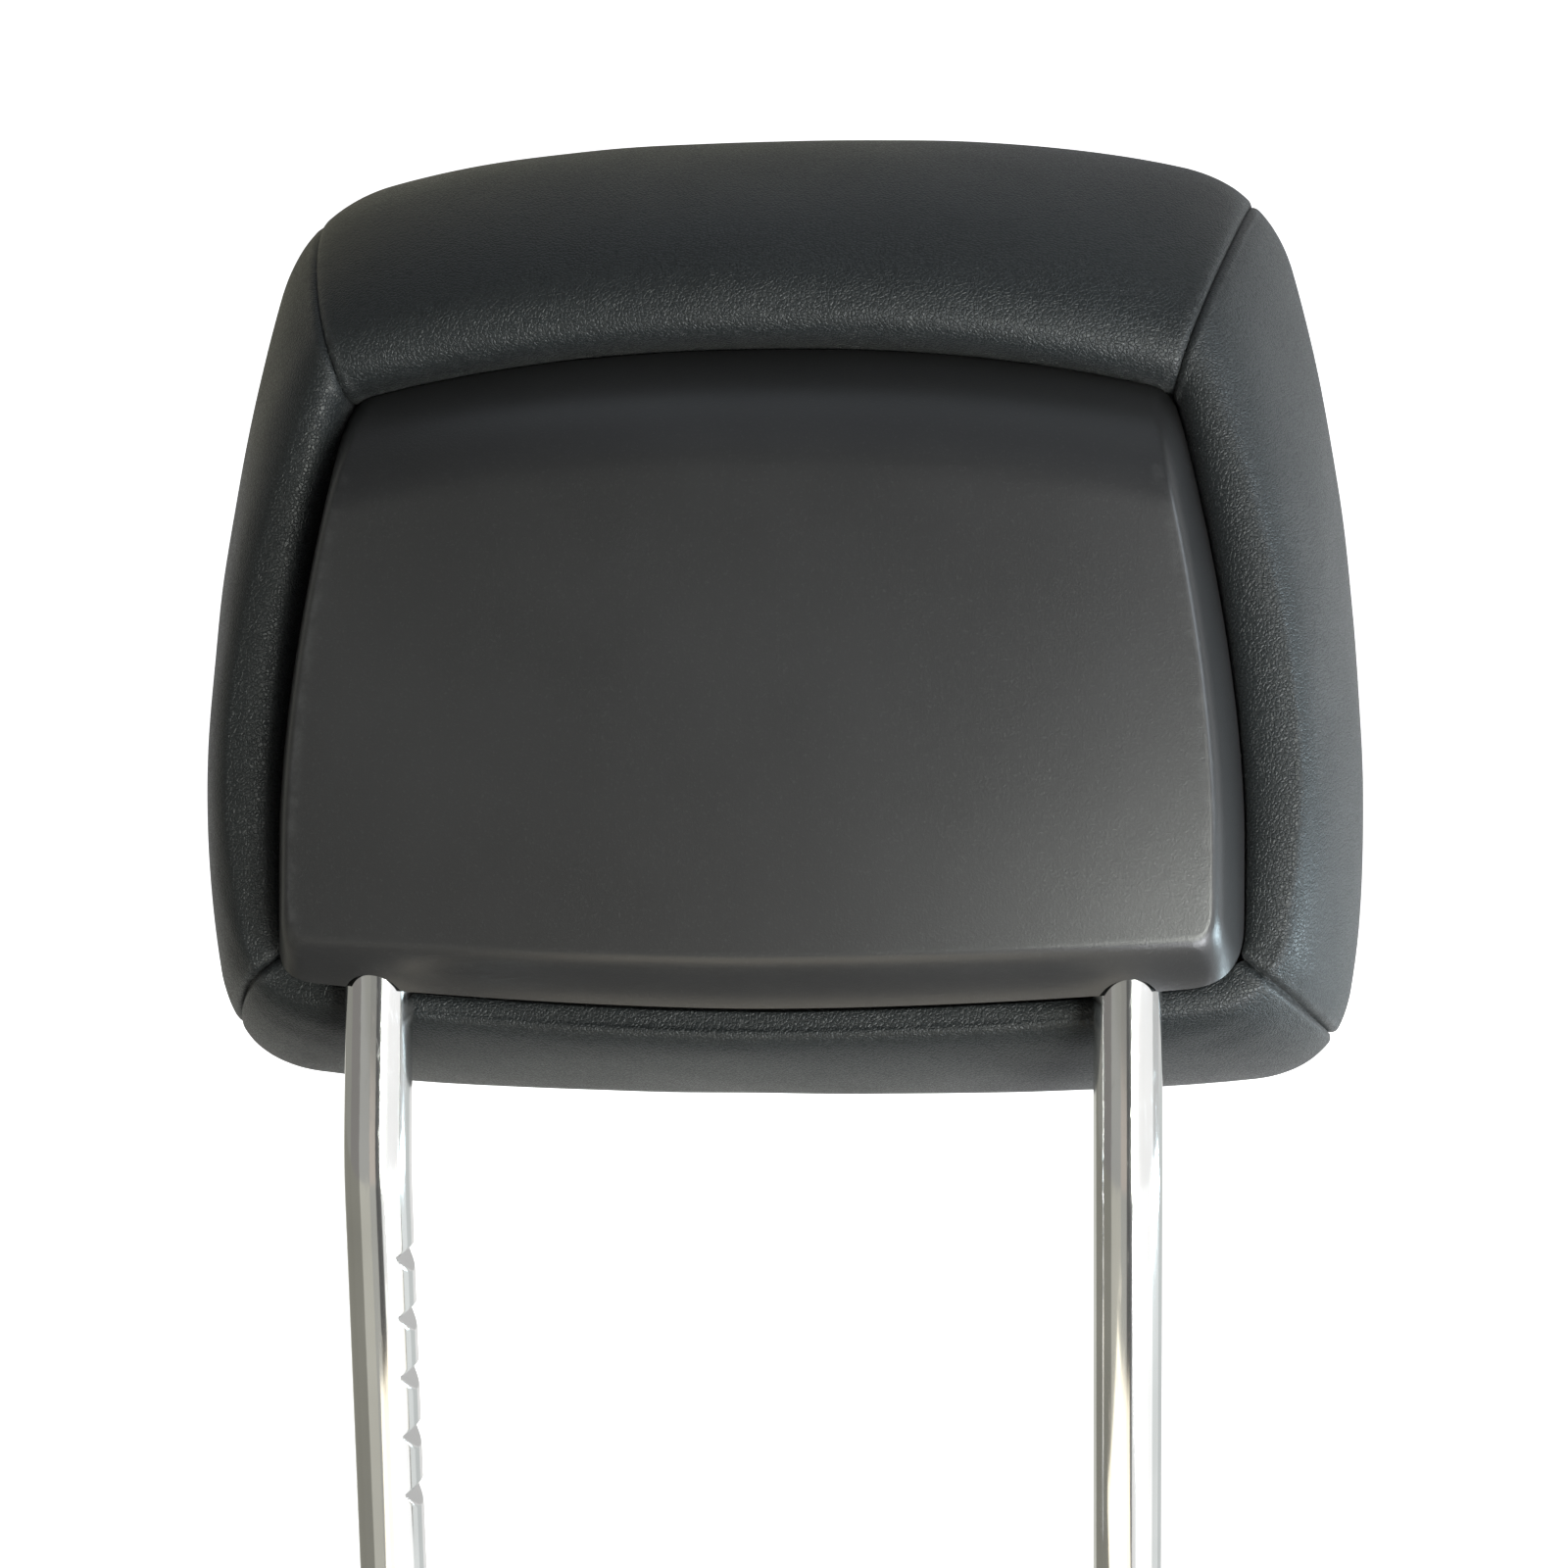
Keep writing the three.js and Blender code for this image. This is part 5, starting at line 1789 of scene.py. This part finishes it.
COVER_PLASTIC = MouldedFinish(
    "cover_plastic",
    (0.017, 0.017, 0.0174),
    0.32,
    has_edge=True,
    edge_colour=(0.09, 0.09, 0.09),
)
PAD_FOAM = MouldedFinish("pad_foam", (0.7, 0.65, 0.48), 0.9, Grain.CELLS, 900.0, 0.0003)
INNER_PARTS = InnerParts(
    carrier=MouldedFinish("carrier_plastic", (0.012, 0.012, 0.013), 0.5),
    strips=MouldedFinish("strip_plastic", (0.45, 0.45, 0.41), 0.55),
    steel=PlatedFinish("zinc_plate", (0.55, 0.56, 0.57), 0.3),
)
LEATHER = LeatherPanels(
    finish=LeatherFinish("black_leather", (0.0115, 0.0136, 0.0143), 0.4),
    swelling=Swelling(),
)
STUDIO = Studio(
    sectors=(
        Sector(-180, -135, (0.55, 0.55, 0.5), (0.6, 0.6, 0.6), (0.35, 0.34, 0.23)),
        Sector(-135, -90, (0.16, 0.155, 0.12), (0.2, 0.2, 0.17), (0.2, 0.2, 0.18)),
        Sector(-90, -55, (0.17, 0.165, 0.13), (0.15, 0.14, 0.13), (0.25, 0.25, 0.22)),
        Sector(-55, -20, (0.45, 0.44, 0.38), (0.32, 0.32, 0.3), (0.25, 0.25, 0.22)),
        Sector(-20, 0, (0.35, 0.35, 0.32), (0.45, 0.4, 0.35), (0.2, 0.2, 0.18)),
        Sector(18, 32, (0.8, 0.8, 0.8), (29.0, 30.0, 28.0), (1.6, 1.6, 1.6)),
        Sector(32, 60, (1.2, 1.2, 1.2), (1.0, 1.0, 1.0), (1.5, 1.5, 1.5)),
        Sector(60, 90, (1.2, 1.2, 1.2), (1.0, 1.0, 1.0), (4.0, 4.4, 4.8)),
        Sector(90, 120, (0.75, 0.78, 0.78), (0.5, 0.5, 0.5), (0.3, 0.3, 0.3)),
        Sector(120, 150, (0.55, 0.58, 0.58), (0.7, 0.7, 0.7), (0.5, 0.5, 0.5)),
        Sector(150, 180, (0.8, 0.8, 0.8), (0.5, 0.5, 0.5), (0.3, 0.3, 0.3)),
    ),
    panels=(
        Panel("overhead_rear", 0, 0.5, 1.6, 1.6, 1.0, (0.2, 0.22, 0.26)),
        Panel("overhead_front", 180, 0.6, 1.6, 1.6, 1.2, (0.35, 0.39, 0.44)),
        Panel("floor_near", 0, 0.16, 0.001, 0.001, 0.2, (1.6, 1.45, 1.15)),
        Panel("deep_shade", 52, 0.86, -0.7, -0.24, 0.62, (0.4, 0.42, 0.5)),
        Panel("floor_window", 45, 0.42, 0.001, 0.001, 0.22, (22.0, 22.5, 23.5)),
        Panel("floor_right", 100, 0.7, 0.001, 0.001, 0.36, (15.0, 19.0, 21.0)),
    ),
)


def main() -> None:
    """Builds the head restraint and its studio."""
    logging.basicConfig(level=logging.INFO, format="%(message)s")
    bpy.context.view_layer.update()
    Viewpoint().build()
    STUDIO.build()
    LEATHER.build()
    FoamPad(PAD_FOAM).build()
    RearCover(COVER_PLASTIC).build()
    Post(PlatedFinish("chrome_plate", (0.82, 0.82, 0.81), 0.09)).build()
    INNER_PARTS.build()


if __name__ == "__main__":
    main()
